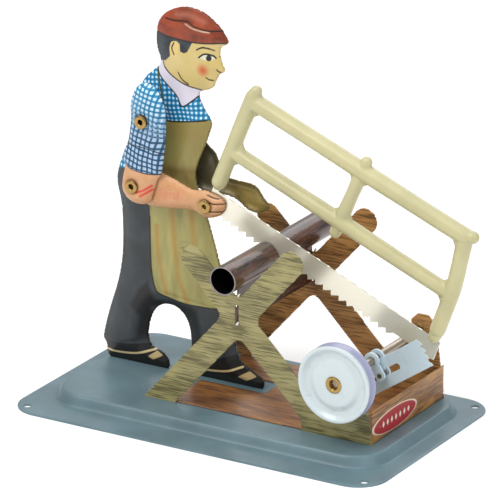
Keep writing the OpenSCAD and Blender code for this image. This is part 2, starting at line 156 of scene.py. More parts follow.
def plate_grid(loops, cell, turn=0.0):
    """Square grid over the loops; a vertex p near the outline moves to p - d(p) grad d(p).
    Returns the points, the quads and the depth inside the outline, all in mm."""
    c, s = math.cos(turn), math.sin(turn)
    spin = np.array([[c, -s], [s, c]])
    loops = [loop @ spin.T for loop in loops]
    low = np.min([loop.min(0) for loop in loops], 0) - cell
    high = np.max([loop.max(0) for loop in loops], 0) + cell
    xs, zs = (np.arange(low[i], high[i] + cell, cell) for i in (0, 1))
    points = np.stack(np.meshgrid(xs, zs), -1).reshape(-1, 2)
    d = signed_distance(points, loops)
    near = (d < 0.48 * cell).reshape(len(zs), len(xs))
    cells = near[:-1, :-1] & near[1:, :-1] & near[:-1, 1:] & near[1:, 1:]
    index = np.arange(len(points)).reshape(near.shape)
    quads = np.stack([index[:-1, :-1], index[:-1, 1:], index[1:, 1:], index[1:, :-1]], -1)[cells]
    used, quads = np.unique(quads, return_inverse=True)
    quads = quads.reshape(-1, 4)
    points, d = points[used], d[used]
    step = 0.02 * cell
    for _ in range(2):
        edge = d > -0.42 * cell
        q = points[edge]
        slope = np.stack([signed_distance(q + np.eye(2)[i] * step, loops)
                          - signed_distance(q - np.eye(2)[i] * step, loops)
                          for i in (0, 1)], -1) / (2 * step)
        slope /= np.maximum(np.linalg.norm(slope, axis=1, keepdims=True), 0.3)
        points[edge] -= d[edge, None] * slope
        d = signed_distance(points, loops)
    return points @ spin, quads, np.maximum(-d, 0)


def rim_edges(quads):
    """Edges used by one quad only, in that quad's direction."""
    e = np.concatenate([quads[:, [i, (i + 1) % 4]] for i in range(4)])
    size = quads.max() + 1
    return e[~np.isin(e[:, 0] * size + e[:, 1], e[:, 1] * size + e[:, 0])]


def make(name, verts, faces, material, smooth=True):
    """Mesh object from vertices in mm and faces of equal size."""
    mesh = bpy.data.meshes.new(name)
    faces = np.asarray(faces)
    mesh.vertices.add(len(verts))
    mesh.vertices.foreach_set("co", (np.asarray(verts, float) * MM).ravel())
    mesh.loops.add(faces.size)
    mesh.loops.foreach_set("vertex_index", faces.ravel())
    mesh.polygons.add(len(faces))
    mesh.polygons.foreach_set("loop_start", np.arange(len(faces)) * faces.shape[1])
    mesh.polygons.foreach_set("use_smooth", np.full(len(faces), smooth))
    mesh.update(calc_edges=True)
    mesh.validate()
    mesh.materials.append(material)
    obj = bpy.data.objects.new(name, mesh)
    bpy.context.scene.collection.objects.link(obj)
    return obj


def attribute(obj, name, values):
    """Stores one number for each vertex, for a material to read."""
    obj.data.attributes.new(name, "FLOAT", "POINT").data.foreach_set(
        "value", np.asarray(values, np.float32))


def stamping(name, loops, y, deep, material, cell, reach, relief=None, art=None):
    """Pillow-shaped half shell. At depth s inside the outline the face stands
    (|deep| - 0.4) (1 - s / reach)^2 mm behind y, and a 0.4 mm lip ends the rim at y + deep."""
    flat, quads, s = plate_grid(loops, cell)
    way = 1 if deep > 0 else -1
    drop = (abs(deep) - 0.4) * np.clip(1 - s / reach, 0, 1) ** 2
    if relief is not None:
        drop = drop + relief(flat) * np.clip(s / 1.2, 0, 1)
    verts = np.column_stack([flat[:, 0], y + way * drop, flat[:, 1]])
    rim = rim_edges(quads)
    ends, back = np.unique(rim, return_inverse=True)
    back = back.reshape(rim.shape) + len(verts)
    lip = verts[ends].copy()
    lip[:, 1] = y + deep
    faces = np.concatenate([quads, np.column_stack([rim[:, 1], rim[:, 0], back[:, 0], back[:, 1]])])
    if way < 0:
        faces = faces[:, ::-1]
    all_flat = np.concatenate([flat, flat[ends]])
    obj = make(name, np.concatenate([verts, lip]), faces, material)
    attribute(obj, "depth", np.concatenate([s, np.zeros(len(ends))]))
    for key, values in (art(all_flat) if art else {}).items():
        attribute(obj, key, values)
    return obj


def thicken(obj, mm):
    """Gives a sheet its thickness, away from its outer side."""
    mod = obj.modifiers.new("Sheet", "SOLIDIFY")
    mod.thickness = mm * MM
    mod.offset = -1
    return obj


def flat_sheet(name, loops, y, thick, material, cell=0.5, turn=0.0):
    """Flat sheet from y to y + thick: a grid in the XZ plane facing -Y, made solid."""
    flat, quads, s = plate_grid(loops, cell, turn)
    obj = make(name, np.column_stack([flat[:, 0], np.full(len(flat), y), flat[:, 1]]), quads,
               material, smooth=False)
    attribute(obj, "depth", s)
    return thicken(obj, thick)


def grid_faces(rows, columns, wrap=True):
    """Quads of a rows x columns grid, closed along the columns when wrap is set."""
    i = np.arange(rows - 1)[:, None] * columns
    j = np.arange(columns if wrap else columns - 1)[None, :]
    k = (j + 1) % columns
    return np.stack([i + j, i + k, i + k + columns, i + j + columns], -1).reshape(-1, 4)


def lathe(name, profile, centre, material, segments=96):
    """Solid of revolution about Y: the profile (r, y) turned round centre (x, z)."""
    profile = np.asarray(profile, float)
    profile = np.concatenate([profile, profile[:1]])
    a = np.arange(segments) * 2 * math.pi / segments
    verts = np.stack([centre[0] + profile[:, :1] * np.cos(a),
                      np.repeat(profile[:, 1:], segments, 1),
                      centre[1] + profile[:, :1] * np.sin(a)], -1).reshape(-1, 3)
    return smooth_by_angle(make(name, verts, grid_faces(len(profile), segments), material))


def smooth_by_angle(obj, degrees=35):
    """Marks an edge sharp where its two faces meet at more than the angle."""
    mesh = obj.data
    work = bmesh.new()
    work.from_mesh(mesh)
    bmesh.ops.remove_doubles(work, verts=work.verts, dist=1e-7)
    bmesh.ops.recalc_face_normals(work, faces=work.faces)
    for edge in work.edges:
        edge.smooth = len(edge.link_faces) != 2 or edge.calc_face_angle(0) < math.radians(degrees)
    work.to_mesh(mesh)
    work.free()
    return obj


def rolled(points, radius, steps=5):
    """Profile with each corner rounded by a quadratic curve of the given reach."""
    p = np.asarray(points, float)
    out = []
    for a, b, c in zip(np.roll(p, 1, 0), p, np.roll(p, -1, 0)):
        reach = min(radius, 0.45 * np.linalg.norm(b - a), 0.45 * np.linalg.norm(c - b))
        u = b + (a - b) / max(np.linalg.norm(a - b), 1e-9) * reach
        v = b + (c - b) / max(np.linalg.norm(c - b), 1e-9) * reach
        t = np.linspace(0, 1, steps)[:, None]
        out.append((1 - t) ** 2 * u + 2 * t * (1 - t) * b + t**2 * v)
    return np.concatenate(out)


def eyelet(name, centre, y0, y1, barrel, flange, bore, material, lip=0.3):
    """Hollow rivet: a lathed tube whose two flanges curl over."""
    p = [(bore, y0 + 0.25), (bore + 0.25, y0), (flange - 0.35, y0), (flange, y0 + 0.12),
         (flange, y0 + lip), (barrel, y0 + lip), (barrel, y1 - lip), (flange, y1 - lip),
         (flange, y1 - 0.1), (flange - 0.3, y1), (bore + 0.2, y1), (bore, y1 - 0.2)]
    return lathe(name, rolled(p, 0.12, 3), centre, material, 48)


def rod(name, path, radii, material, n=28):
    """Round bar along a path in 3-D: rings of the given radii, with domed ends."""
    path, radii = np.asarray(path, float), np.asarray(radii, float)
    t = np.gradient(path, axis=0)
    t /= np.linalg.norm(t, axis=1, keepdims=True)
    side = np.array([0.0, 1.0, 0.0])
    dome = np.array([0.0, 0.35, 0.65, 0.87, 0.97])
    lift = np.sqrt(1 - dome**2)
    path = np.concatenate([path[:1] - t[:1] * (radii[0] * lift)[:, None], path,
                           path[-1:] + t[-1:] * (radii[-1] * lift[::-1])[:, None]])
    radii = np.concatenate([radii[0] * dome, radii, radii[-1] * dome[::-1]])
    t = np.concatenate([np.repeat(t[:1], 5, 0), t, np.repeat(t[-1:], 5, 0)])
    up = np.cross(t, side)
    a = np.arange(n) * 2 * math.pi / n
    rings = path[:, None] + radii[:, None, None] * (
        np.cos(a)[None, :, None] * side + np.sin(a)[None, :, None] * up[:, None])
    obj = make(name, rings.reshape(-1, 3), grid_faces(len(path), n), material)
    return smooth_by_angle(obj, 60)


def joined(name, objs):
    """Several meshes as one object."""
    bpy.ops.object.select_all(action="DESELECT")
    for obj in objs:
        obj.select_set(True)
    bpy.context.view_layer.objects.active = objs[0]
    bpy.ops.object.join()
    objs[0].name = name
    return objs[0]


def in_saw(s, h, y):
    """Point s along the blade and h above its line through the hand pivot."""
    c, n = math.cos(TILT), math.sin(TILT)
    return [HAND[0] + s * c + h * n, y, HAND[1] - s * n + h * c]


# ---------------------------------------------------------------- materials


def lin(code):
    """Linear RGBA of an sRGB hex colour."""
    v = [int(code[i:i + 2], 16) / 255 for i in (1, 3, 5)]
    return tuple(c / 12.92 if c <= 0.04045 else ((c + 0.055) / 1.055) ** 2.4 for c in v) + (1.0,)


def chosen(key, gain=1.0):
    """Linear RGBA of a colour setting, made lighter or darker by gain."""
    return tuple(min(1.0, gain * v) for v in getattr(bpy.context.scene.tin_toy, key)) + (1.0,)


class Net:
    """One material's node tree, with its shader and its Object coordinates in mm."""

    def __init__(self, name, rough=0.3, metal=0.0, coat=0.0, specular=0.5):
        self.mat = bpy.data.materials.new(name)
        self.mat.use_nodes = True
        self.tree = self.mat.node_tree
        self.tree.nodes.clear()
        surface = self.add("BsdfPrincipled", {
            "Roughness": rough, "Metallic": metal, "Coat Weight": coat, "Coat Roughness": 0.1,
            "Specular IOR Level": specular})
        self.shader = surface.node
        ending = self.tree.nodes.new("ShaderNodeOutputMaterial")
        self.tree.links.new(surface, ending.inputs[0])
        where = self.add("TexCoord", out="Object")
        self.mm = self.add("VectorMath", {0: where, "Scale": 1 / MM}, operation="SCALE")

    def add(self, kind, values=None, out=0, **settings):
        """Adds one node with its settings and links, and returns one of its outputs. A hex
        code among the values is made linear."""
        node = self.tree.nodes.new("ShaderNode" + kind)
        for key, value in settings.items():
            setattr(node, key, value)
        for key, value in (values or {}).items():
            self.put(node.inputs[key], value)
        return node.outputs[out]

    def put(self, socket, value):
        """Links a socket to the input, or sets its value."""
        if isinstance(value, bpy.types.NodeSocket):
            self.tree.links.new(value, socket)
        else:
            socket.default_value = lin(value) if isinstance(value, str) else value

    def done(self, color):
        """Sets the base colour and returns the material."""
        self.put(self.shader.inputs["Base Color"], color)
        return self.mat


def grain(n, size, detail=3.0, rough=0.55, stretch=(1, 1, 1), place=None):
    """Noise of about size mm, drawn out by the stretch factors along X, Y and Z."""
    drawn = n.add("VectorMath", {0: place or n.mm, 1: [1 / v for v in stretch]},
                  operation="MULTIPLY")
    return n.add("TexNoise", {"Vector": drawn, "Scale": 1.0 / size, "Detail": detail,
                              "Roughness": rough}, out="Fac")


def over(n, color, paint, value, edge=0.0, soft=0.06, share=1.0):
    """Paint over a colour where a value, or the stored distance of that name, is under the
    edge. Its share falls smoothly to nothing from edge - soft to edge + soft."""
    if isinstance(value, str):
        value = n.add("Attribute", out="Fac", attribute_name=value)
    cover = n.add("MapRange", {
        "Value": value, "From Min": edge - soft, "From Max": edge + soft,
        "To Min": share, "To Max": 0.0}, interpolation_type="SMOOTHSTEP")
    return n.add("Mix", {0: cover, 6: color, 7: paint}, out=2, data_type="RGBA")


def between(n, color, other, value, low, high, share=1.0):
    """A colour that turns into the other as a value, or a stored one, goes from low to high."""
    if isinstance(value, str):
        value = n.add("Attribute", out="Fac", attribute_name=value)
    cover = n.add("MapRange", {"Value": value, "From Min": low, "From Max": high,
                               "To Max": share})
    return n.add("Mix", {0: cover, 6: color, 7: other}, out=2, data_type="RGBA")


def uneven_gloss(n, low, high, *noise):
    """Roughness that wanders from low to high with a grain."""
    rough = n.add("MapRange", {"Value": grain(n, *noise), "From Min": 0.3, "From Max": 0.7,
                               "To Min": low, "To Max": high})
    n.put(n.shader.inputs["Roughness"], rough)


def dents(n, mm, *noise, fine=None):
    """Gentle dents that stand mm deep: a grain plus, for fine = (size, share), a share of a
    finer one."""
    height = grain(n, *noise)
    if fine:
        height = n.add("Math", {0: grain(n, fine[0], 2), 1: fine[1], 2: height},
                       operation="MULTIPLY_ADD")
    normal = n.add("Bump", {"Height": height, "Strength": 1.0, "Distance": mm * MM})
    n.put(n.shader.inputs["Normal"], normal)


def blue_enamel():
    """Slate-blue stoved enamel, dipped and baked on pressed steel: one soft-gloss colour with
    faint clouds, orange peel that ripples the highlights, and pale specks of wear."""
    n = Net("Slate blue enamel", 0.36, coat=0.12, specular=0.4)
    color = between(n, chosen("tray", 0.74), chosen("tray"), grain(n, 22), 0.35, 0.65)
    color = over(n, color, "#93a6aa", grain(n, 0.8, 2, 0.8), 0.27, 0.02, 0.3)
    uneven_gloss(n, 0.3, 0.44, 9, 4)
    dents(n, 0.25, 26, 1, fine=(1.6, 0.05))
    return n.done(color)


def wood_print(name, light, mid, dark, along):
    """Wood grain lithographed on tin and lacquered: flat under a soft shine, with printed
    streaks of 0.4 and 1.1 mm, drawn out along the first axis of the named plane. They crowd
    where the patches are dark."""
    n = Net(name, 0.38, coat=0.15, specular=0.4)
    run, across = (n.add("SeparateXYZ", {0: n.mm}, out=axis) for axis in along)
    place = n.add("CombineXYZ", {0: run, 1: across})
    patch = grain(n, 6, 3, 0.6, (3, 1, 1), place)
    wide = grain(n, 1.1, 4, 0.65, (16, 1, 1), place)
    thin = grain(n, 0.36, 1, 0.5, (26, 1, 1), place)
    color = between(n, mid, light, patch, 0.36, 0.62)
    for streak, edge, soft, share in ((wide, 0.67, 0.08, 0.4), (thin, 0.7, 0.05, 0.72)):
        crowded = n.add("Math", {0: patch, 1: 0.5, 2: streak}, operation="MULTIPLY_ADD")
        color = over(n, color, dark, crowded, edge, soft, share)
    gap = n.add("Math", {0: 1.0, 1: thin}, operation="SUBTRACT")
    color = over(n, color, light, gap, 0.36, 0.05, 0.4)
    dents(n, 0.12, 14, 2)
    return n.done(color)


def log_print():
    """Bark lithographed on rolled tin: glossy purple-brown with long grey and pale dashes, a
    bright cut edge, and painted shade that makes the bore nearly black."""
    n = Net("Log print", 0.27, coat=0.3)
    dash = grain(n, 1.7, 4, 0.65, (1, 7, 1))
    color = between(n, "#241813", "#5f3b2c", dash, 0.38, 0.62)
    color = over(n, color, "#8d786c", grain(n, 0.6, 3, 0.7, (1, 11, 1)), 0.36, 0.05, 0.35)
    color = over(n, color, "#171112", grain(n, 3.2, 2, 0.6, (1, 5, 1)), 0.36, 0.05)
    # Painted shade: the bore, where outside is 0, is nearly black.
    color = over(n, color, "#0a0808", "outside", 0.5, 0.1)
    color = over(n, color, "#857d80", "lip", 0.25, 0.1)
    dents(n, 0.15, 7, 2)
    return n.done(color)


def polished(name, code, rough=0.18, streak=(1, 1, 1), grime="#4a4438", amount=0.25,
             metal=1.0, wear=1.0):
    """Rolled or polished metal: sharp highlights that break up in fine streaks along the
    rolling, dulled here and there by grime."""
    n = Net(name, rough, metal=metal)
    uneven_gloss(n, rough * (1 - 0.3 * wear), rough * (1 + 0.5 * wear), 0.5, 3, 0.6, streak)
    dents(n, 0.006 * wear, 0.5, 3, 0.6, streak)
    return n.done(over(n, code, grime, grain(n, 2.5, 4, 0.7), 0.42, 0.1, amount))


def cream_plastic():
    """Cream injection-moulded polystyrene: even, smooth and slightly translucent, so its thin
    parts glow and its highlights stay soft."""
    n = Net("Cream polystyrene", 0.22)
    n.shader.inputs["Subsurface Weight"].default_value = 0.25
    n.shader.inputs["Subsurface Radius"].default_value = (0.004, 0.003, 0.0015)
    n.shader.inputs["Subsurface Scale"].default_value = 0.5
    color = between(n, chosen("bow", 0.87), chosen("bow"), grain(n, 16), 0.35, 0.65)
    dents(n, 0.06, 5, 2)
    return n.done(color)


def white_enamel():
    """White enamel sprayed on the turned pulley: a clean gloss with a little grey dirt. Past
    10.9 mm from the axle and 0.8 mm behind the front face it is pale lilac, with a thin line of
    painted shade round the rim, where the front lip turns into the groove."""
    n = Net("White enamel", 0.26, coat=0.4)
    place = n.add("VectorMath", {0: n.mm, 1: (AXLE[0], 0.0, AXLE[1])}, operation="SUBTRACT")
    place = n.add("VectorMath", {0: place, 1: (1, 0, 1)}, operation="MULTIPLY")
    from_axle = n.add("VectorMath", {0: place}, out="Value", operation="LENGTH")
    y = n.add("SeparateXYZ", {0: n.mm}, out="Y")
    behind = n.add("MapRange", {"Value": y, "From Min": PULLEY_FRONT + 0.7,
                                "From Max": PULLEY_FRONT + 0.9},
                   interpolation_type="SMOOTHSTEP")
    rim = n.add("MapRange", {"Value": from_axle, "From Min": 10.7, "From Max": 11.1,
                             "To Max": behind}, interpolation_type="SMOOTHSTEP")
    color = n.add("Mix", {0: rim, 6: chosen("wheel"), 7: chosen("wheel_rim")}, out=2,
                  data_type="RGBA")
    # Painted shade: a thin dark line round the rim, 1.05 mm behind the front face.
    from_line = y
    for kind, value in (("SUBTRACT", PULLEY_FRONT + 1.05), ("ABSOLUTE", 0.0)):
        from_line = n.add("Math", {0: from_line, 1: value}, operation=kind)
    share = n.add("Math", {0: rim, 1: 0.7}, operation="MULTIPLY")
    color = over(n, color, "#4d5068", from_line, 0.14, 0.05, share)
    return n.done(over(n, color, "#8f9293", grain(n, 3, 4, 0.7), 0.36, 0.08, 0.25))


def label_print():
    """Red oval lithographed on tin, with a pale border and a row of small pale lozenges, under
    a soft-gloss lacquer."""
    n = Net("Red label", 0.35, coat=0.15, specular=0.35)
    place = n.add("VectorMath", {0: n.mm, 1: (0, -2.0, BADGE_Z)}, operation="SUBTRACT")
    place = n.add("VectorMath", {0: place, 1: (0, 1 / 14, 1 / 3.6)}, operation="MULTIPLY")
    r = n.add("VectorMath", {0: place}, out="Value", operation="LENGTH")
    color = over(n, "#d9cdb4", chosen("badge"), r, 0.93, 0.02)
    across = n.add("SeparateXYZ", {0: n.mm}, out="Y")
    for kind, value in (("DIVIDE", 2.6), ("FRACT", 0.0), ("SUBTRACT", 0.5), ("ABSOLUTE", 0.0)):
        across = n.add("Math", {0: across, 1: value}, operation=kind)
    up = n.add("Math", {0: n.add("SeparateXYZ", {0: place}, out="Z")}, operation="ABSOLUTE")
    lozenge = n.add("Math", {0: up, 1: 0.8, 2: across}, operation="MULTIPLY_ADD")
    inside = n.add("MapRange", {"Value": r, "From Min": 0.64, "From Max": 0.68,
                                "To Min": 1.0, "To Max": 0.0}, interpolation_type="SMOOTHSTEP")
    return n.done(over(n, color, "#e6dcc8", lozenge, 0.26, 0.03, inside))


def check_cloth(n, turn, pitch, line, blue, white, edge):
    """Printed check of the given pitch in mm: lines where the turned place, divided by the
    pitch, is near a half, in a darker ink where two lines cross."""
    wave = n.add("Math", {0: grain(n, 9, 1), 1: 2.4, 2: -1.2}, operation="MULTIPLY_ADD")
    c, s = math.cos(turn), math.sin(turn)
    bands = []
    for way in ((c, 0, s), (-s, 0, c)):
        t = n.add("VectorMath", {0: n.mm, 1: way}, out="Value", operation="DOT_PRODUCT")
        for kind, value in (("ADD", wave), ("DIVIDE", pitch), ("FRACT", 0.0),
                            ("SUBTRACT", 0.5), ("ABSOLUTE", 0.0)):
            t = n.add("Math", {0: t, 1: value}, operation=kind)
        bands.append(t)
    near, cross = (n.add("Math", dict(enumerate(bands)), operation=kind)
                   for kind in ("MINIMUM", "MAXIMUM"))
    return over(n, over(n, white, blue, near, line, 0.05), edge, cross, line, 0.05)


def printed_tin(name, build):
    """Lithographed tin: layers of ink whose edges are distances, in mm, stored on the pressing.
    Clear lacquer over them gives crisp flat colours under one soft, slightly rippled shine."""
    n = Net(name, 0.38, coat=0.14, specular=0.35)
    dents(n, 0.18, 18, 2, fine=(1.1, 0.04))
    return n.done(build(n))


def apron_ink(n):
    """The apron: ochre folds on olive, browner up the bib and darker at the waist."""
    z = n.add("SeparateXYZ", {0: n.mm}, out="Z")
    apron = between(n, chosen("apron", 0.65), chosen("apron"), grain(n, 6, 3, 0.6, (1, 1, 4)),
                    0.35, 0.66)
    apron = over(n, apron, "#a9792a", "fold", 0.5, 0.9, 0.6)
    apron = between(n, apron, "#8b783c", z, 68.0, 84.0, 0.75)
    apron = over(n, apron, "#7d5a33", "waist", 0.6, 2.4, 0.75)
    hatch = n.add("MapRange", {"Value": grain(n, 1.1, 3, 0.7, (7, 1, 1)), "From Min": 0.4,
                               "From Max": 0.6})
    return over(n, apron, "#6b643f", "blot", -0.6, 1.4, hatch)


def figure_ink(n):
    """Cap, face, shirt, apron, trousers and shoes, laid one over another, with painted shade on the
    trousers and painted highlights on the cap.
    """
    color = between(n, "#272b2e", "#3b4145", grain(n, 10), 0.3, 0.7)
    # Painted shade: the trousers darken under the apron and between the legs.
    color = over(n, color, "#151315", "shade", 0.0, 1.0)
    color = over(n, color, "#141211", "shoe", 0.0, 0.1)
    color = over(n, color, "#cbb88a", "welt", 0.36, 0.08)
    color = over(n, color, "#b9a374", "lace")
    color = over(n, color, apron_ink(n), "apron")
    shirt = check_cloth(n, 0.12, 1.5, 0.27, chosen("shirt"), "#cbe6f0", chosen("shirt", 0.55))
    color = over(n, color, shirt, "shirt")
    skin = between(n, "#c6b06c", "#d0bb80", grain(n, 8, 2), 0.3, 0.7)
    skin = over(n, skin, "#c24a1e", "cheek", 1.5, 1.4, 0.9)
    skin = over(n, skin, "#d6d1bb", "white", 0.0, 0.08)
    color = over(n, color, skin, "skin")
    hair = between(n, "#20262d", "#39434a", grain(n, 4, 2), 0.3, 0.7)
    color = over(n, color, hair, "hair", 0.0, 0.08)
    color = over(n, color, "#d8bd78", "ear", 0.0, 0.08)
    color = over(n, color, "#d6d0de", "collar")
    cap = between(n, chosen("cap", 0.46), chosen("cap"), grain(n, 3.5, 4, 0.6, (2, 1, 1)),
                  0.35, 0.65)
    # Painted highlight: a paler band along the top of the cap.
    cap = over(n, cap, "#c98a76", "glow", 0.3, 1.6, 0.5)
    color = over(n, color, cap, "cap")
    # Painted highlight: a near-white band across the cap.
    color = over(n, color, "#f0dfc6", "gleam", 0.1, 0.35)
    color = over(n, color, "#4a4c22", "strap", 0.34, 0.1)
    color = over(n, color, "#1d1714", "line", 0.24, 0.1)
    return over(n, color, "#1a1c22", "eye", 0.0, 0.05)


def sleeve_ink(n):
    """Rolled check sleeve, paler at the shoulder, over a bare elbow with red brush strokes."""
    skin = between(n, "#c69163", "#d2a27b", grain(n, 5), 0.3, 0.7)
    skin = over(n, skin, "#cf3a31", "stroke", 0.35, 0.3)
    dark = check_cloth(n, -0.16, 1.7, 0.19, "#185478", "#a9bfd8", "#10395a")
    pale = check_cloth(n, -0.22, 1.55, 0.22, "#2389b8", "#d0e8f2", "#1a709c")
    color = over(n, skin, between(n, dark, pale, "height", 82.0, 98.0), "sleeve")
    return over(n, color, "#1b2a38", "line", 0.22, 0.1)


def forearm_ink(n):
    """Bare forearm: stippled red on peach, with dark lines between the fingers."""
    skin = between(n, "#c69162", "#d2a278", grain(n, 5), 0.3, 0.7)
    stored = n.add("Attribute", out="Fac", attribute_name="stipple")
    share = n.add("MapRange", {"Value": stored, "From Min": -1.0, "From Max": 5.0,
                               "To Min": 0.7, "To Max": 0.0}, interpolation_type="SMOOTHSTEP")
    skin = over(n, skin, "#cf5a48", grain(n, 0.45, 2, 0.8), 0.47, 0.05, share)
    return over(n, skin, "#4a2a22", "line", 0.22, 0.1)


def olive_lacquer():
    """Tinted clear lacquer brushed over bare tin: a dull metal gleam through it, grey-brown at
    the shoulder, gold at the hand, and darker within about 1.5 mm of the rim."""
    n = Net("Olive gold lacquer", 0.34, metal=0.3, coat=0.15, specular=0.4)
    cloud = grain(n, 7)
    hand = between(n, "#86733a", "#b09a56", cloud, 0.3, 0.7)
    arm = between(n, "#57523f", "#6b6650", cloud, 0.3, 0.7)
    x = n.add("SeparateXYZ", {0: n.mm}, out="X")
    color = between(n, arm, hand, x, -20.0, -8.0)
    # Darker within about 1.5 mm of the outline.
    color = over(n, color, "#3f3b20", "depth", 0.9, 0.8, 0.45)
    dents(n, 0.25, 6, 2)
    return n.done(color)


def paper_floor():
    """White studio paper: matt and even, so it only takes soft shadows."""
    return Net("Studio paper", 0.85).done("#ffffff")


MATS = {}


def mat(key):
    """One material for each finish, made when first asked for."""
    makers = {
        "base": blue_enamel, "cream": cream_plastic, "white": white_enamel, "log": log_print,
        "label": label_print, "olive": olive_lacquer, "paper": paper_floor,
        "front": lambda: wood_print("Olive wood print", "#a29967", "#8a8252", "#4a4526", "XZ"),
        "back": lambda: wood_print("Brown wood print", "#c08f57", "#a3753f", "#4a2f1f", "XZ"),
        "floor": lambda: wood_print("Floor wood print", "#9c6a3a", "#825834", "#4a2f20", "XY"),
        "panel": lambda: wood_print("Panel wood print", "#b5823f", "#986536", "#55351c", "YZ"),
        "figure": lambda: printed_tin("Figure print", figure_ink),
        "sleeve": lambda: printed_tin("Sleeve print", sleeve_ink),
        "skin": lambda: printed_tin("Forearm print", forearm_ink),
        "brass": lambda: polished("Brass", chosen("brass"), 0.24),
        "bright": lambda: polished("Bright tin", "#e9e5d5", 0.24, (6, 1, 1), amount=0.0,
                                   metal=0.62, wear=0.12),
        "steel": lambda: polished("Steel", "#a79a8a", 0.3, (1, 8, 1)),
        "pale": lambda: polished("Bluish tin", "#cbdde6", 0.4, (4, 1, 1), amount=0.04,
                                 metal=0.2, wear=0.4),
    }
    if key not in MATS:
        MATS[key] = makers[key]()
    return MATS[key]


# ---------------------------------------------------------------- artwork

APRON = [(-39.0, 58), (-38.8, 40.3), (-38.0, 33.8), (-36.5, 29.9), (-32.6, 28.6), (-26.8, 27.8),
         (-16.4, 28.1), (-8.5, 29.6), (-8, 60), (-14, 70), (-14, 89.9), (-24.9, 88.2), (-36, 87),
         (-40, 80), (-42, 70)]
SHIRT = [(-46, 98), (-37.5, 105), (-36.4, 103.2), (-29.5, 95.6), (-27.2, 92.5), (-21.6, 97.1),
         (-19, 95), (-14, 89.9), (-24.9, 88.2), (-36, 87), (-40, 80), (-43, 70), (-54, 68),
         (-54, 80)]
CAP = [(-42, 115.9), (-36.1, 114.6), (-31, 114), (-24.3, 113.6), (-18.2, 114), (-10, 115),
       (-10, 130), (-42, 130)]
HAIR = [(-42, 117), (-28.9, 114.8), (-23.3, 114.6), (-24.6, 112.2), (-25.7, 110.2),
        (-26.9, 109.6), (-28.2, 110), (-28.4, 112.4), (-29.6, 113.2), (-31.4, 112.6),
        (-32.1, 110.6), (-31.9, 107.9), (-34, 106), (-36.4, 106), (-42, 108)]
SKIN = [(-35.6, 107), (-34.6, 104.6), (-30, 101), (-25.9, 99.4), (-20.6, 98), (-10, 98),
        (-10, 116), (-32, 116), (-33, 109)]
COLLAR = [(-37.2, 103.4), (-35.2, 106.3), (-34, 103.8), (-30, 101.1), (-25.9, 99.4),
          (-21.2, 98.3), (-21.4, 97.1), (-27.2, 92.5), (-29.5, 95.6), (-35.7, 101)]
EAR = [(-30.5, 113), (-29.1, 112.4), (-28.8, 110.9), (-29.5, 108.9), (-30.4, 107.4),
       (-31.3, 108.2), (-31.9, 110.4), (-31.6, 112.2)]
# Painted shade on the trousers, under the apron and between the legs.
SHADE = [(-40, 33), (-37.6, 27), (-30, 27.4), (-22, 26.5), (-20, 12), (-26, 12), (-26.5, 20),
         (-31, 26), (-39.4, 24), (-39.6, 13), (-50, 10.4), (-44.6, 12.6), (-43.4, 20.3),
         (-46.4, 23.6), (-43.6, 29.4)]
SHOES = [(-60, 9.4), (-55, 9.7), (-48.5, 10.1), (-40.6, 11.4), (-30, 11.4), (-26.2, 0),
         (-60, 0)]
FRONT_SHOE = [(-27, 9.6), (-19, 9.8), (-8.2, 14), (6, 14), (6, 0), (-27, 0)]


def inked(points, shape):
    """Distance to a printed area's outline, negative inside."""
    return signed_distance(points, [np.asarray(shape, float)])


def nearest(points, lines):
    """Distance to the nearest of the curves through the given points."""
    return np.min([line_distance(points, curve(line)) for line in lines], 0)


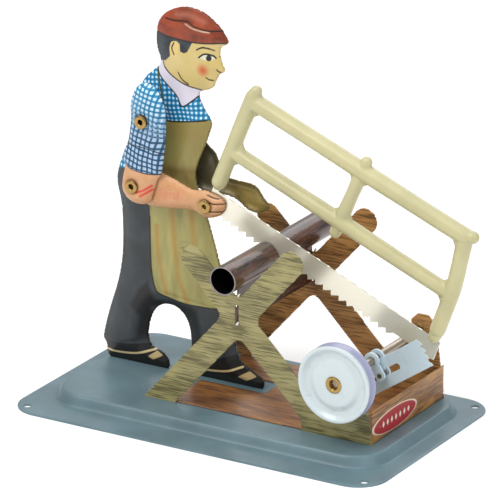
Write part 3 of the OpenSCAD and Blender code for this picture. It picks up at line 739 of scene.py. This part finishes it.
def clothes(points):
    """Distances, in mm, to each printed area and line of the figure, and to its painted shade and
    painted highlights. The print sits 0.8 mm to the left of these drawings at the feet, 0.2 mm
    to the left at the head."""
    far = points[:, 1]
    head = np.clip((far - 85) / 12, 0, 1)
    points = points + np.column_stack([0.8 - 0.6 * head,
                                       0.5 * (1 - head) * np.clip(far / 30 - 0.5, 0, 1)])
    return {
        "apron": inked(points, APRON),
        "shirt": inked(points, SHIRT),
        "skin": inked(points, SKIN),
        "hair": inked(points, HAIR),
        "cap": inked(points, curve(CAP[:6]).tolist() + CAP[6:]),
        "collar": inked(points, COLLAR),
        "ear": inked(points, curve(EAR, True)),
        "shoe": np.minimum(inked(points, SHOES), inked(points, FRONT_SHOE)),
        "welt": nearest(points, [[(-57, 6.6), (-50.2, 6.7), (-44.3, 7.6), (-38, 9.8)],
                                 [(-24.6, 6.6), (-19.3, 6.9), (-11.8, 7.9), (-6, 10.2)]]),
        "lace": np.minimum(
            inked(points, [(-40.4, 7.2), (-37.4, 9.4), (-35.2, 8.2), (-38.6, 6.4)]),
            inked(points, [(-7.6, 6.8), (-3.6, 9.2), (-1, 7.8), (-4.4, 6)])),
        # Painted shade on the trousers.
        "shade": inked(points, SHADE),
        "fold": nearest(points, [[(-36.6, 52), (-36.2, 44), (-35.1, 38), (-33.2, 30)],
                                 [(-31, 58), (-29.8, 44.8), (-28.4, 35.5), (-25.4, 28.4)],
                                 [(-24, 60), (-23, 48), (-20, 34)]])
        - 0.12 * np.abs(far - 38) ** 0.5,
        "waist": nearest(points, [[(-38, 71.6), (-30, 71.4), (-23, 71.8)],
                                  [(-26, 70), (-23.6, 66), (-21.6, 63)]]),
        "blot": inked(points, [(-29.4, 47.3), (-26.7, 49.4), (-22.6, 48.6), (-17.8, 45),
                               (-18.4, 42), (-22, 37), (-25.5, 40)]),
        "strap": nearest(points, [[(-37.2, 103.6), (-35.8, 99), (-34.6, 94), (-33.6, 88)]]),
        "line": nearest(points, [
            [(-34, 119.7), (-30.9, 119.5), (-25.8, 119.9), (-23.8, 118.9), (-21.7, 118.4),
             (-18.2, 118), (-14.2, 118.4)],
            [(-37, 114.8), (-31, 114), (-24.3, 113.6), (-18.2, 114), (-12, 114.8)],
            [(-37.2, 103.4), (-35.7, 101), (-29.5, 95.6), (-27.2, 92.5), (-21.4, 97.1)],
            [(-35.2, 106.1), (-34, 103.8), (-30, 101.1), (-25.9, 99.4), (-21.2, 98.3)],
            [(-36, 87), (-30, 87.4), (-24.9, 88.2), (-19, 89.2)],
            [(-29, 103.2), (-27.6, 101.2), (-25.4, 99.9)],
            [(-39, 55), (-38.8, 40.3), (-38, 33.8), (-36.5, 29.9), (-32.6, 28.6), (-26.8, 27.8),
             (-16.4, 28.1), (-11, 29)],
            [(-30.5, 112.4), (-31.2, 110.6), (-30.4, 108.6)],
            [(-22.4, 111.4), (-20.8, 112.3), (-18.6, 112.5), (-16.4, 111.9)],
            [(-21.6, 111.9), (-20, 112.6), (-18, 112.3)],
            [(-19.2, 102.9), (-18.2, 102.3), (-17, 102.2)],
            [(-15.6, 106), (-15.2, 105.3), (-14.4, 105.2)]]),
        "white": inked(points, curve([(-21.2, 109.3), (-19.4, 110.4), (-17, 110.2), (-16.2, 109.5),
                                      (-17.6, 108.7), (-19.6, 108.6)], True)),
        "eye": np.minimum(
            line_distance(points, curve([(-21.6, 109.1), (-19.6, 110.5), (-17, 110.3),
                                         (-16, 109.5)])) - 0.28,
            np.hypot(points[:, 0] + 18.2, points[:, 1] - 109.3) - 0.9),
        "cheek": np.hypot(points[:, 0] + 20.2, points[:, 1] - 105.2),
        # Painted highlights on the cap.
        "glow": nearest(points, [[(-30, 121.4), (-25, 121.8), (-20, 120.4)]]),
        "gleam": nearest(points, [[(-26.4, 119.1), (-23.8, 118.0), (-20.7, 117.6),
                                   (-18, 117.5)]]),
    }


def sleeve_art(points):
    """Distances to the sleeve's end, the elbow's strokes and the dark lines, and the height."""
    end = [(-50, 74), (-43.6, 72.9), (-40.3, 71.8), (-36.7, 71.3), (-28, 71.7), (-25, 110),
           (-50, 110)]
    return {
        "sleeve": inked(points, end),
        "height": points[:, 1],
        "stroke": nearest(points, [[(-40.2, 64.4), (-37.2, 65.7), (-34.3, 67.7)],
                                   [(-38.4, 63.6), (-35.9, 65.2), (-34.2, 66.4)]]),
        "line": nearest(points, [[(-43.6, 72.9), (-40.3, 71.8), (-36.7, 71.3), (-31, 71.7)],
                                 [(-44.6, 80), (-40, 79.9), (-35, 79.4), (-29, 78.4)]]),
    }


def forearm_art(points):
    """Distances to the stippled stripe and to the lines between the fingers."""
    return {
        "stipple": nearest(points, [[(-31, 64.5), (-26, 65.6)]]),
        "line": nearest(points, [[(-15.2, 64.6), (-12.6, 64.9), (-9.6, 65.3)],
                                 [(-15, 62), (-12.6, 62.3), (-10.4, 62.6)],
                                 [(-15.6, 67.2), (-13.6, 66.7), (-11.6, 66.6)]]),
    }


def folds(points):
    """Shallow embossing: apron edge and trouser creases, at most 0.25 mm deep."""
    x, z = points[:, 0], points[:, 1]
    crease = 0.12 * np.sin(0.55 * (x + 0.15 * z)) * np.exp(-((z - 40) / 14) ** 2)
    seam = 0.15 * np.exp(-(line_distance(points, [(-39, 58), (-38.6, 36), (-36, 29.6),
                                                  (-16, 28)]) / 0.5) ** 2)
    return crease + seam + 0.12


# ---------------------------------------------------------------- pieces


def finish_piece(obj, body, slot, *nodes):
    """Ties the piece to its body and hides the imported nodes that it shows. The slot, which names
    its finish, is not used.
    """
    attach(obj, body)
    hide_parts(*nodes)
    return obj


def rounded_outline(length, width, r, count, centre_y=0.0):
    """Points of a rounded rectangle at equal turns: count points to each corner arc."""
    out = []
    for k, (sx, sy) in enumerate(((1, 1), (-1, 1), (-1, -1), (1, -1))):
        a = math.pi / 2 * (k + np.linspace(0, 1, count))
        out.append(np.column_stack([sx * (length / 2 - r) + r * np.cos(a),
                                    centre_y + sy * (width / 2 - r) + r * np.sin(a)]))
    return np.concatenate(out)


def build_base():
    """Pressed tray. Rings of one rounded rectangle follow the section: rolled edge, flat flange,
    an S step z = 0.6 + 3.4 (3t^2 - 2t^3), then the platform."""
    count = 24
    outer = rounded_outline(*TRAY, 10, count)
    foot = rounded_outline(118.6, 63.6, 12.6, count, 2.5)
    head = rounded_outline(113.6, 58.6, 10, count, 2.5)
    middle = np.array([[0.0, 2.5]])
    rings = []
    for inset, z in ((0.0, 0.0), (0.0, 0.35), (0.08, 0.52), (0.3, 0.6)):
        scale = 1 - 2 * inset / np.array(TRAY)
        rings.append(np.column_stack([outer * scale, np.full(len(outer), z)]))
    for t in np.linspace(0.08, 1, 8):
        rings.append(np.column_stack([outer * (1 - t) + foot * t, np.full(len(outer), 0.6)]))
    for t in np.linspace(0.06, 1, 16):
        s = 3 * t * t - 2 * t**3
        rings.append(np.column_stack([foot * (1 - t) + head * t,
                                      np.full(len(outer), 0.6 + 3.4 * s)]))
    for t in (0.02, 0.06, 0.2, 0.5, 0.8, 0.97):
        rings.append(np.column_stack([head * (1 - t) + middle * t, np.full(len(outer), 4.0)]))
    under = [np.column_stack([ring[:, :2], np.where(ring[:, 2] > 0.61, ring[:, 2] - 0.6, 0.0)])
             for ring in rings]
    columns = len(outer)
    sheets = [make(name, np.concatenate(sheet), grid_faces(len(rings), columns), mat("base"))
              for name, sheet in (("Base_tray", rings), ("Underside", under))]
    obj = joined("Base_tray", sheets)
    # the middle of both sheets is closed with one face each
    work = bmesh.new()
    work.from_mesh(obj.data)
    bmesh.ops.remove_doubles(work, verts=work.verts, dist=1e-7)
    bmesh.ops.holes_fill(work, edges=work.edges, sides=0)
    bmesh.ops.recalc_face_normals(work, faces=work.faces)
    work.to_mesh(obj.data)
    work.free()
    # fixing holes
    drills = []
    for sx in (-1, 1):
        for sy in (-1, 1):
            p = [(0.001, -1), (1.3, -1), (1.3, 2), (0.001, 2)]
            drill = lathe("Drill", p, (0, 0), mat("base"), 40)
            drill.rotation_euler = (math.radians(90), 0, 0)
            drill.location = (sx * FIXING_HOLES[0] * MM, sy * FIXING_HOLES[1] * MM, 0)
            drills.append(drill)
    bpy.context.view_layer.update()
    for drill in drills:
        cut = obj.modifiers.new("Hole", "BOOLEAN")
        cut.object = drill
        cut.operation = "DIFFERENCE"
        cut.solver = "EXACT"
    bpy.context.view_layer.objects.active = obj
    for cut in list(obj.modifiers):
        bpy.ops.object.modifier_apply(modifier=cut.name)
    for drill in drills:
        bpy.data.objects.remove(drill)
    smooth_by_angle(obj, 40)
    finish_piece(obj, "stand", "blue_enamel", "base_plate")


def build_sawhorse():
    """Two X frames, the floor between them, the end panel and its oval badge."""
    front = flat_sheet("Front_X_frame", face_loops("front_frame", FRONT_FRAME), FRONT_FRAME,
                       SHEET, mat("front"), 0.45)
    back = flat_sheet("Back_X_frame", face_loops("back_frame", BACK_FRAME), BACK_FRAME, SHEET,
                      mat("back"), 0.45)
    finish_piece(front, "stand", "olive_litho", "front_frame")
    finish_piece(back, "stand", "brown_litho", "back_frame")
    notch = [(-20, -16.1), (51.5, -16.1), (51.5, 29.1), (-20, 29.1), (-20, 13), (3, 13),
             (3, 3.1), (-20, 3.1)]
    flat, quads, s = plate_grid([np.array(notch)], 1.0)
    wave = 0.05 * np.sin(flat[:, 0] / 9) * np.sin(flat[:, 1] / 7) * np.clip(s / 3, 0, 1)
    floor = make("Floor_sheet", np.column_stack([flat, 4.38 + wave]), quads, mat("floor"))
    finish_piece(thicken(floor, 0.36), "stand", "brown_litho", "floor_tray")
    # end panel: a grid in the YZ plane with a folded bead along its top
    ys = np.linspace(-16.1, 29.1, 60)
    zs = np.concatenate([np.linspace(4, 14.2, 14), 14.6 + 0.4 * np.sin(np.linspace(0, 1.57, 5))])
    bulge = np.where(zs > 14.3, 0.12 * np.sin((zs - 14.3) / 0.7 * math.pi), 0.0)
    y, z = np.meshgrid(ys, zs)
    verts = np.stack([END_PANEL + 0 * y + bulge[:, None], y, z], -1).reshape(-1, 3)
    panel = make("End_panel", verts, grid_faces(len(zs), len(ys), False), mat("panel"))
    finish_piece(thicken(panel, 0.4), "stand", "orange_litho", "end_panel")
    a = np.linspace(0, 2 * math.pi, 97)[:-1]
    rings = []
    for k, out in ((1.0, 0.0), (1.0, 0.09), (0.97, 0.14), (0.8, 0.15), (0.4, 0.15),
                   (0.02, 0.15)):
        rings.append(np.column_stack([np.full(96, END_PANEL + out),
                                      np.maximum(-2 + 14 * k * np.cos(a), -16.1),
                                      BADGE_Z + 3.6 * k * np.sin(a)]))
    badge = make("Oval_badge", np.concatenate(rings), grid_faces(6, 96), mat("label"))
    finish_piece(badge, "stand", "red_label", "oval_label")


def build_log():
    """Rolled tube of radius 4.5 mm and 0.35 mm sheet with the kerf that the blade runs in, a
    web below it, and the web's tabs through both frames."""
    columns = 120
    a = np.arange(columns) * 2 * math.pi / columns
    ys = np.concatenate([np.linspace(LOG_ENDS[0], KERF[0], 40)[:-1], np.linspace(*KERF, 4),
                         np.linspace(KERF[1], LOG_ENDS[1], 54)[1:]])
    pieces = []
    for r in (LOG_R, LOG_R - 0.35):
        x = LOG[0] - r * np.sin(a)
        z = LOG[1] - r * np.cos(a)
        pieces.append(np.stack([np.tile(x, (len(ys), 1)), np.repeat(ys[:, None], columns, 1),
                                np.tile(z, (len(ys), 1))], -1).reshape(-1, 3))
    faces = grid_faces(len(ys), columns)
    # the kerf: faces between its two sides whose middle is above the teeth
    mid = pieces[0][faces].mean(1)
    c, s = math.cos(TILT), math.sin(TILT)
    h = (mid[:, 0] - HAND[0]) * s + (mid[:, 2] - HAND[1]) * c
    keep = ~((mid[:, 1] > KERF[0]) & (mid[:, 1] < KERF[1]) & (h > -2.7))
    faces = faces[keep]
    count = len(pieces[0])
    rim = rim_edges(faces)
    walls = np.column_stack([rim[:, 1], rim[:, 0], rim[:, 0] + count, rim[:, 1] + count])
    verts = np.concatenate(pieces)
    obj = make("Log_tube", verts, np.concatenate([faces, faces[:, ::-1] + count, walls]),
               mat("log"))
    lip = np.minimum(verts[:, 1] - LOG_ENDS[0], LOG_ENDS[1] - verts[:, 1])
    # outside is 0 on the inner sheet, which the log material turns into painted shade.
    attribute(obj, "outside", np.repeat([1.0, 0.0], count))
    attribute(obj, "lip", np.where(lip < 0.3, 0.0, 1.0))
    # double web under the log, with a bright tab bent out at each frame
    web = []
    for x0, x1, y0, y1, z0, z1 in ((4.35, 5.05, -15.8, 28.8, 33.8, 46.4),
                                   (4.45, 4.95, -16.9, -15.8, 34.4, 39.8),
                                   (4.45, 4.95, 28.8, 29.9, 34.4, 39.8)):
        corner = np.array([[x, y, z] for x in (x0, x1) for y in (y0, y1) for z in (z0, z1)])
        quads = [[0, 1, 3, 2], [4, 6, 7, 5], [0, 4, 5, 1], [2, 3, 7, 6], [0, 2, 6, 4],
                 [1, 5, 7, 3]]
        piece = make("Web", corner, quads, mat("log"), smooth=False)
        attribute(piece, "outside", np.ones(8))
        attribute(piece, "lip", np.ones(8))
        web.append(piece)
    obj = joined("Log_tube", [obj] + web)
    smooth_by_angle(obj, 40)
    finish_piece(obj, "stand", "log_litho", "log_tube")
    # bent ends of the web's tabs
    tabs = [rod("Tab", [(x, y, z - 0.35), (x + 0.3, y, z + 0.35)], [0.36, 0.36], mat("bright"), 14)
            for y in (-16.75, 29.75) for x, z in ((5.4, 43.8), (5.0, 34.5))]
    finish_piece(joined("Bent_log_tabs", tabs), "stand", "bright_steel", "log_tube")


def build_figure():
    """Two pressed half shells with the clothes and face printed on them."""
    toy = bpy.context.scene.tin_toy
    front = stamping("Figure_front_shell", face_loops("figure_front_shell", 5.1), 5.1, 2.0,
                     mat("figure"), 0.34, toy.pillow / MM, relief=folds, art=clothes)
    back = stamping("Figure_back_shell", face_loops("figure_back_shell", 9.1), 9.1, -2.0,
                    mat("figure"), 0.45, toy.pillow / MM, relief=folds, art=clothes)
    finish_piece(front, "stand", "figure_litho", "figure_front_shell")
    finish_piece(back, "stand", "figure_litho", "figure_back_shell")
    arm = stamping("Far_arm", face_loops("far_arm", 10.8), 10.8, -1.7, mat("olive"), 0.4,
                   toy.arm_pillow / MM)
    finish_piece(thicken(arm, 0.3), "stand", "gold_lacquer", "far_arm")
    rivet = eyelet("Far_arm_rivet", FAR_ARM_PIN, 9.1, 11.1, 1.2, 1.9, 0.8, mat("brass"))
    finish_piece(rivet, "stand", "brass", "far_arm_rivet")
    pin = eyelet("Shoulder_rivet", SHOULDER, -3.5, 5.8, 1.2, 2.1, 0.8, mat("brass"), 0.35)
    finish_piece(pin, "stand", "brass", "shoulder_rivet")
    tube = lathe("Shoulder_spacer", rolled([(1.25, -2.2), (2.4, -2.2), (2.4, 5.1), (1.25, 5.1)],
                                           0.15, 3), SHOULDER, mat("steel"), 48)
    finish_piece(tube, "stand", "bright_steel", "shoulder_spacer")


def build_arms():
    """The near arm: sleeve shell and forearm shell, each open at its back. Creases cross the
    sleeve as bell curves of the height; those between the fingers follow the dark lines."""
    toy = bpy.context.scene.tin_toy

    def creases(p):
        return (0.3 * np.exp(-((p[:, 1] - 71.2) / 0.6) ** 2)
                + 0.2 * np.exp(-((p[:, 1] - 79.2) / 0.5) ** 2))

    def fingers(p):
        return 0.35 * np.exp(-(forearm_art(p)["line"] / 0.35) ** 2)

    upper = stamping("Upper_arm", face_loops("upper_arm", -2.9), -2.9, 1.7, mat("sleeve"), 0.33,
                     toy.arm_pillow / MM, relief=creases, art=sleeve_art)
    finish_piece(thicken(upper, 0.3), "near_upper_arm", "shirt_litho", "upper_arm")
    pin = eyelet("Elbow_rivet", ELBOW, -3.2, 0.2, 1.2, 2.1, 0.8, mat("brass"), 0.35)
    finish_piece(pin, "near_upper_arm", "brass", "elbow_rivet")
    fore = stamping("Forearm", face_loops("forearm", -0.8), -0.8, 1.7, mat("skin"), 0.33,
                    toy.arm_pillow / MM, relief=fingers, art=forearm_art)
    finish_piece(thicken(fore, 0.3), "near_forearm", "skin_litho", "forearm")
    pin = eyelet("Hand_rivet", HAND, -1.1, 2.3, 1.0, 2.2, 0.6, mat("brass"))
    finish_piece(pin, "near_forearm", "brass", "hand_rivet")


def build_saw():
    """Blade, moulded bow and the slotted yoke plate."""
    toy = bpy.context.scene.tin_toy
    blade = flat_sheet("Saw_blade", face_loops("saw_blade", 1.3), 1.3, SHEET, mat("bright"), 0.25,
                       -TILT)
    finish_piece(blade, "saw", "bright_steel", "saw_blade")
    yoke = flat_sheet("Yoke_plate", face_loops("yoke_plate", 0.9), 0.9, SHEET, mat("pale"),
                      0.25, math.radians(34.3))
    finish_piece(yoke, "saw", "pale_steel", "yoke_plate")
    y = 1.5
    rods = []
    for path, radii in (
        ([(0.4, 9.3), (0.1, 21), (-0.2, 30), (-0.2, 40.4), (-0.2, 43.2)],
         [2.5, 2.45, 2.5, 2.7, 1.9]),
        ([(0, 21), (20, 21.3), (41.6, 21.7), (62, 22), (83.2, 22.4)], [2.4, 2.45, 2.6, 2.45, 2.4]),
        ([(0, 39.7), (20, 40.2), (41.6, 40.7), (62, 41.2), (79.8, 41.7)],
         [2.75, 2.7, 2.8, 2.7, 2.75]),
        ([(41.5, 17.6), (41.5, 25), (41.5, 32), (41.5, 38), (41.5, 44)],
         [1.9, 2.25, 2.1, 2.3, 1.9]),
        ([(84.2, 9.4), (83.9, 14), (83.2, 24), (81.8, 32), (80.2, 39.8), (80.6, 42.2)],
         [2.5, 2.5, 2.55, 2.5, 2.6, 2.1]),
        ([(79.4, 41.4), (80.6, 42.2), (82, 43.0)], [2.4, 2.3, 2.0]),
    ):
        line = curve(path, steps=8)
        r = np.interp(np.linspace(0, 1, len(line)), np.linspace(0, 1, len(radii)), radii)
        rods.append(rod("Rail", [in_saw(s, h, y) for s, h in line], r * toy.rail, mat("cream")))
    # gussets that fill the inner corners
    for s, h, ds, dh in ((2.3, 23.2, 1, 1), (2.3, 18.8, 1, -1), (2.3, 37.3, 1, -1),
                         (39.6, 23.8, -1, 1), (43.4, 23.8, 1, 1), (39.6, 38.3, -1, -1),
                         (43.4, 38.4, 1, -1), (80.9, 24.6, -1, 1), (81.3, 20.2, -1, -1),
                         (78.3, 39, -1, -1)):
        ends = [(s - 0.8 * ds, h + 1.6 * dh), (s + 1.6 * ds, h - 0.8 * dh)]
        rods.append(rod("Gusset", [in_saw(u, v, y) for u, v in ends], [1.0, 1.0], mat("cream")))
    bow = joined("Saw_bow", rods)
    melt = bow.modifiers.new("Mould", "REMESH")
    melt.mode = "VOXEL"
    melt.voxel_size = toy.voxel
    melt.use_smooth_shade = True
    ease = bow.modifiers.new("Fillet", "SMOOTH")
    ease.factor, ease.iterations = 0.5, 10
    finish_piece(bow, "saw", "cream_plastic", "saw_bow")
    feet = [rod("Foot", [in_saw(s, low, y), in_saw(s, 9.7, y)], [r, 2.3], mat("cream"))
            for s, low, r in ((0.4, 7.9, 1.6), (84.2, 6.7, 1.95))]
    finish_piece(joined("Bow_feet", feet), "saw", "cream_plastic", "saw_bow")


def build_drive():
    """Belt pulley, hub, collars, axle and crank."""
    r, y0, w = 12.25, PULLEY_FRONT, 4.9
    profile = [(1.9, y0 + 0.5), (7.0, y0 + 0.5), (8.6, y0 + 1.5), (10.1, y0 + 1.3),
               (r - 1.0, y0), (r, y0 + 0.1), (r, y0 + 0.9), (r - 1.9, y0 + 0.42 * w),
               (r - 1.9, y0 + 0.58 * w), (r, y0 + w - 0.9), (r, y0 + w - 0.1), (r - 1, y0 + w),
               (r - 2.6, y0 + w - 1.2), (4.4, y0 + w - 1.2), (3.6, y0 + w), (1.9, y0 + w)]
    wheel = lathe("Belt_pulley", rolled(profile, 0.5, 5), AXLE, mat("white"), 160)
    finish_piece(wheel, "crankshaft", "white_enamel", "pulley")
    hub = eyelet("Hub_eyelet", AXLE, y0 + 0.2, y0 + w + 0.3, 1.9, 2.7, 1.4, mat("brass"))
    finish_piece(hub, "crankshaft", "brass", "hub_eyelet")
    for name, node, y1, y2 in (("Front_bearing", "front_bearing", -16.8, -15.8),
                               ("Rear_bearing", "rear_bearing", 28.8, 29.8)):
        ring = eyelet(name, AXLE, y1, y2, 1.9, 2.5, 1.45, mat("brass"))
        finish_piece(ring, "stand", "brass", node)
    for name, node, y1, y2 in (("Front_collar", "front_collar", -19.3, -17.1),
                               ("Rear_collar", "rear_collar", 30.1, 31.9)):
        ring = lathe(name, rolled([(1.4, y1), (2.6, y1), (2.6, y2), (1.4, y2)], 0.3, 4), AXLE,
                     mat("brass"), 64)
        finish_piece(ring, "crankshaft", "brass", node)
    for name, node, y1, y2 in (("Front_axle", "front_axle", -22.9, -0.1),
                               ("Rear_axle", "rear_axle", 2.4, 32.5)):
        bar = lathe(name, rolled([(0.001, y1), (1.4, y1), (1.4, y2), (0.001, y2)], 0.25, 4),
                    AXLE, mat("steel"), 48)
        finish_piece(bar, "crankshaft", "bright_steel", node)
    for name, node, y in (("Crank_cheek", "crank_web", -1.0), ("Rear_cheek", "rear_web", 2.4)):
        cheek = flat_sheet(name, face_loops(node, y), y, 0.9, mat("pale"), 0.22)
        finish_piece(cheek, "crankshaft", "bright_steel", node)
    stubs = [lathe("Pin", rolled([(0.001, y1), (0.8, y1), (0.8, y2), (0.001, y2)], 0.15, 3),
                   CRANK_PIN, mat("steel"), 40) for y1, y2 in ((-1.15, 0.6), (1.6, 3.4))]
    finish_piece(joined("Crank_pin", stubs), "crankshaft", "bright_steel", "crank_pin")


def build_stage():
    """Pale floor, soft daylight and the camera. Each lamp and the camera stand at a turn round
    the toy and a rise above the table, both in degrees, and look at its middle."""
    size = 3000.0
    floor = make("Floor", [(-size, -size, -0.01), (size, -size, -0.01), (size, size, -0.01),
                           (-size, size, -0.01)], [[0, 1, 2, 3]], mat("paper"), smooth=False)
    target = Vector((-3.4 * MM, 5.0 * MM, 50 * MM))

    def aim(obj, azimuth, elevation, far):
        a, e = math.radians(azimuth), math.radians(elevation)
        way = Vector((math.sin(a) * math.cos(e), -math.cos(a) * math.cos(e), math.sin(e)))
        obj.location = target + way * far
        obj.rotation_euler = (-way).to_track_quat("-Z", "Y").to_euler()
        bpy.context.scene.collection.objects.link(obj)
        return obj

    def lamp(name, azimuth, elevation, far, size, watts, code="#ffffff"):
        data = bpy.data.lights.new(name, "AREA")
        data.shape = "RECTANGLE"
        data.size, data.size_y = size
        data.energy = watts
        data.color = lin(code)[:3]
        aim(bpy.data.objects.new(name, data), azimuth, elevation, far)

    lamp("Key", -25, 50, 0.9, (0.6, 0.5), 3.6, "#fffaf2")
    lamp("Fill", 70, 30, 1.0, (0.7, 0.6), 2.0, "#f4f8ff")
    lamp("Top", 20, 85, 0.9, (0.9, 0.9), 3.4)
    lamp("Back", 190, 35, 1.0, (0.8, 0.4), 2.0)
    world = bpy.data.worlds.new("Studio")
    world.use_nodes = True
    back = world.node_tree.nodes["Background"]
    back.inputs[0].default_value = lin("#f4f5f7")
    back.inputs[1].default_value = 0.62
    bpy.context.scene.world = world
    camera = bpy.data.cameras.new("Camera")
    camera.sensor_width = 36.0
    camera.lens = 350.35
    camera.clip_start, camera.clip_end = 0.05, 20.0
    eye = bpy.data.objects.new("Camera", camera)
    aim(eye, 30.67, 20.0, 1.499)
    bpy.context.scene.camera = eye
    bpy.context.scene.view_settings.view_transform = "Standard"


# ---------------------------------------------------------------- add-on


def color_setting(name, description, code):
    """One colour that a user can change, from its sRGB hex default."""
    return bpy.props.FloatVectorProperty(name=name, description=description, subtype="COLOR",
                                         size=3, min=0.0, max=1.0, default=lin(code)[:3])


class TinToySettings(bpy.types.PropertyGroup):
    """Sizes and colours that every operator reads."""

    voxel: bpy.props.FloatProperty(
        name="Bow detail", description="Cell size used to blend the moulded bow's rails",
        default=0.0003, min=0.0002, max=0.001, unit="LENGTH", subtype="DISTANCE")
    pillow: bpy.props.FloatProperty(
        name="Pillow width", description="How far in from its edge a figure shell keeps rising",
        default=0.006, min=0.001, max=0.01, unit="LENGTH", subtype="DISTANCE")
    arm_pillow: bpy.props.FloatProperty(
        name="Arm pillow width", description="How far in from its edge an arm shell keeps rising",
        default=0.003, min=0.001, max=0.006, unit="LENGTH", subtype="DISTANCE")
    rail: bpy.props.FloatProperty(
        name="Rail thickness", description="Thickness of the bow's rails against the drawn ones",
        default=1.0, min=0.7, max=1.1, subtype="FACTOR")
    tray: color_setting("Tray", "Enamel of the base tray", "#67818a")
    bow: color_setting("Bow", "Plastic of the saw's bow", "#c4be92")
    wheel: color_setting("Pulley", "Enamel of the pulley's face", "#c9d5d8")
    wheel_rim: color_setting("Pulley rim", "Enamel of the pulley's rim", "#9c9fbc")
    badge: color_setting("Badge", "Ground of the oval badge", "#a3121f")
    brass: color_setting("Brass", "Hollow rivets and bearings", "#ad8f58")
    cap: color_setting("Cap", "Light parts of the printed cap", "#9a4326")
    apron: color_setting("Apron", "Light parts of the printed apron", "#b3aa68")
    shirt: color_setting("Shirt", "Lines of the printed check shirt", "#1c86bb")


class TINTOY_OT_base(bpy.types.Operator):
    """Builds the pressed base tray."""

    bl_idname = "tintoy.base"
    bl_label = "Base tray"

    def execute(self, context):
        build_base()
        return {"FINISHED"}


class TINTOY_OT_sawhorse(bpy.types.Operator):
    """Builds both X frames, the floor, the end panel and the badge."""

    bl_idname = "tintoy.sawhorse"
    bl_label = "Sawhorse"

    def execute(self, context):
        build_sawhorse()
        return {"FINISHED"}


class TINTOY_OT_log(bpy.types.Operator):
    """Builds the rolled log and its web."""

    bl_idname = "tintoy.log"
    bl_label = "Log"

    def execute(self, context):
        build_log()
        return {"FINISHED"}


class TINTOY_OT_figure(bpy.types.Operator):
    """Builds the figure's two shells and its fixed far arm."""

    bl_idname = "tintoy.figure"
    bl_label = "Figure"

    def execute(self, context):
        build_figure()
        return {"FINISHED"}


class TINTOY_OT_arms(bpy.types.Operator):
    """Builds the moving upper arm and forearm."""

    bl_idname = "tintoy.arms"
    bl_label = "Near arm"

    def execute(self, context):
        build_arms()
        return {"FINISHED"}


class TINTOY_OT_saw(bpy.types.Operator):
    """Builds the blade, the moulded bow and the yoke plate."""

    bl_idname = "tintoy.saw"
    bl_label = "Saw"

    def execute(self, context):
        build_saw()
        return {"FINISHED"}


class TINTOY_OT_drive(bpy.types.Operator):
    """Builds the pulley, the axle and the crank."""

    bl_idname = "tintoy.drive"
    bl_label = "Drive"

    def execute(self, context):
        build_drive()
        return {"FINISHED"}


class TINTOY_OT_stage(bpy.types.Operator):
    """Adds the floor, the lights and the camera."""

    bl_idname = "tintoy.stage"
    bl_label = "Stage"

    def execute(self, context):
        build_stage()
        return {"FINISHED"}


OPERATORS = [TINTOY_OT_base, TINTOY_OT_sawhorse, TINTOY_OT_log, TINTOY_OT_figure,
             TINTOY_OT_arms, TINTOY_OT_saw, TINTOY_OT_drive, TINTOY_OT_stage]


class TINTOY_PT_panel(bpy.types.Panel):
    """Buttons for the toy's pieces."""

    bl_label = "Tin Toy"
    bl_space_type = "VIEW_3D"
    bl_region_type = "UI"
    bl_category = "Tin Toy"

    def draw(self, context):
        column = self.layout.column()
        for key in TinToySettings.__annotations__:
            column.prop(context.scene.tin_toy, key)
        for kind in OPERATORS:
            column.operator(kind.bl_idname)


CLASSES = [TinToySettings, *OPERATORS, TINTOY_PT_panel]


def register():
    """Registers the classes and hangs the settings on the scene."""
    for kind in CLASSES:
        bpy.utils.register_class(kind)
    bpy.types.Scene.tin_toy = bpy.props.PointerProperty(type=TinToySettings)


def unregister():
    """Takes the settings and the classes away again."""
    del bpy.types.Scene.tin_toy
    for kind in reversed(CLASSES):
        bpy.utils.unregister_class(kind)


def main():
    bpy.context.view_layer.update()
    register()
    for key in ("base", "sawhorse", "log", "figure", "arms", "saw", "drive", "stage"):
        getattr(bpy.ops.tintoy, key)()


if __name__ == "__main__":
    main()
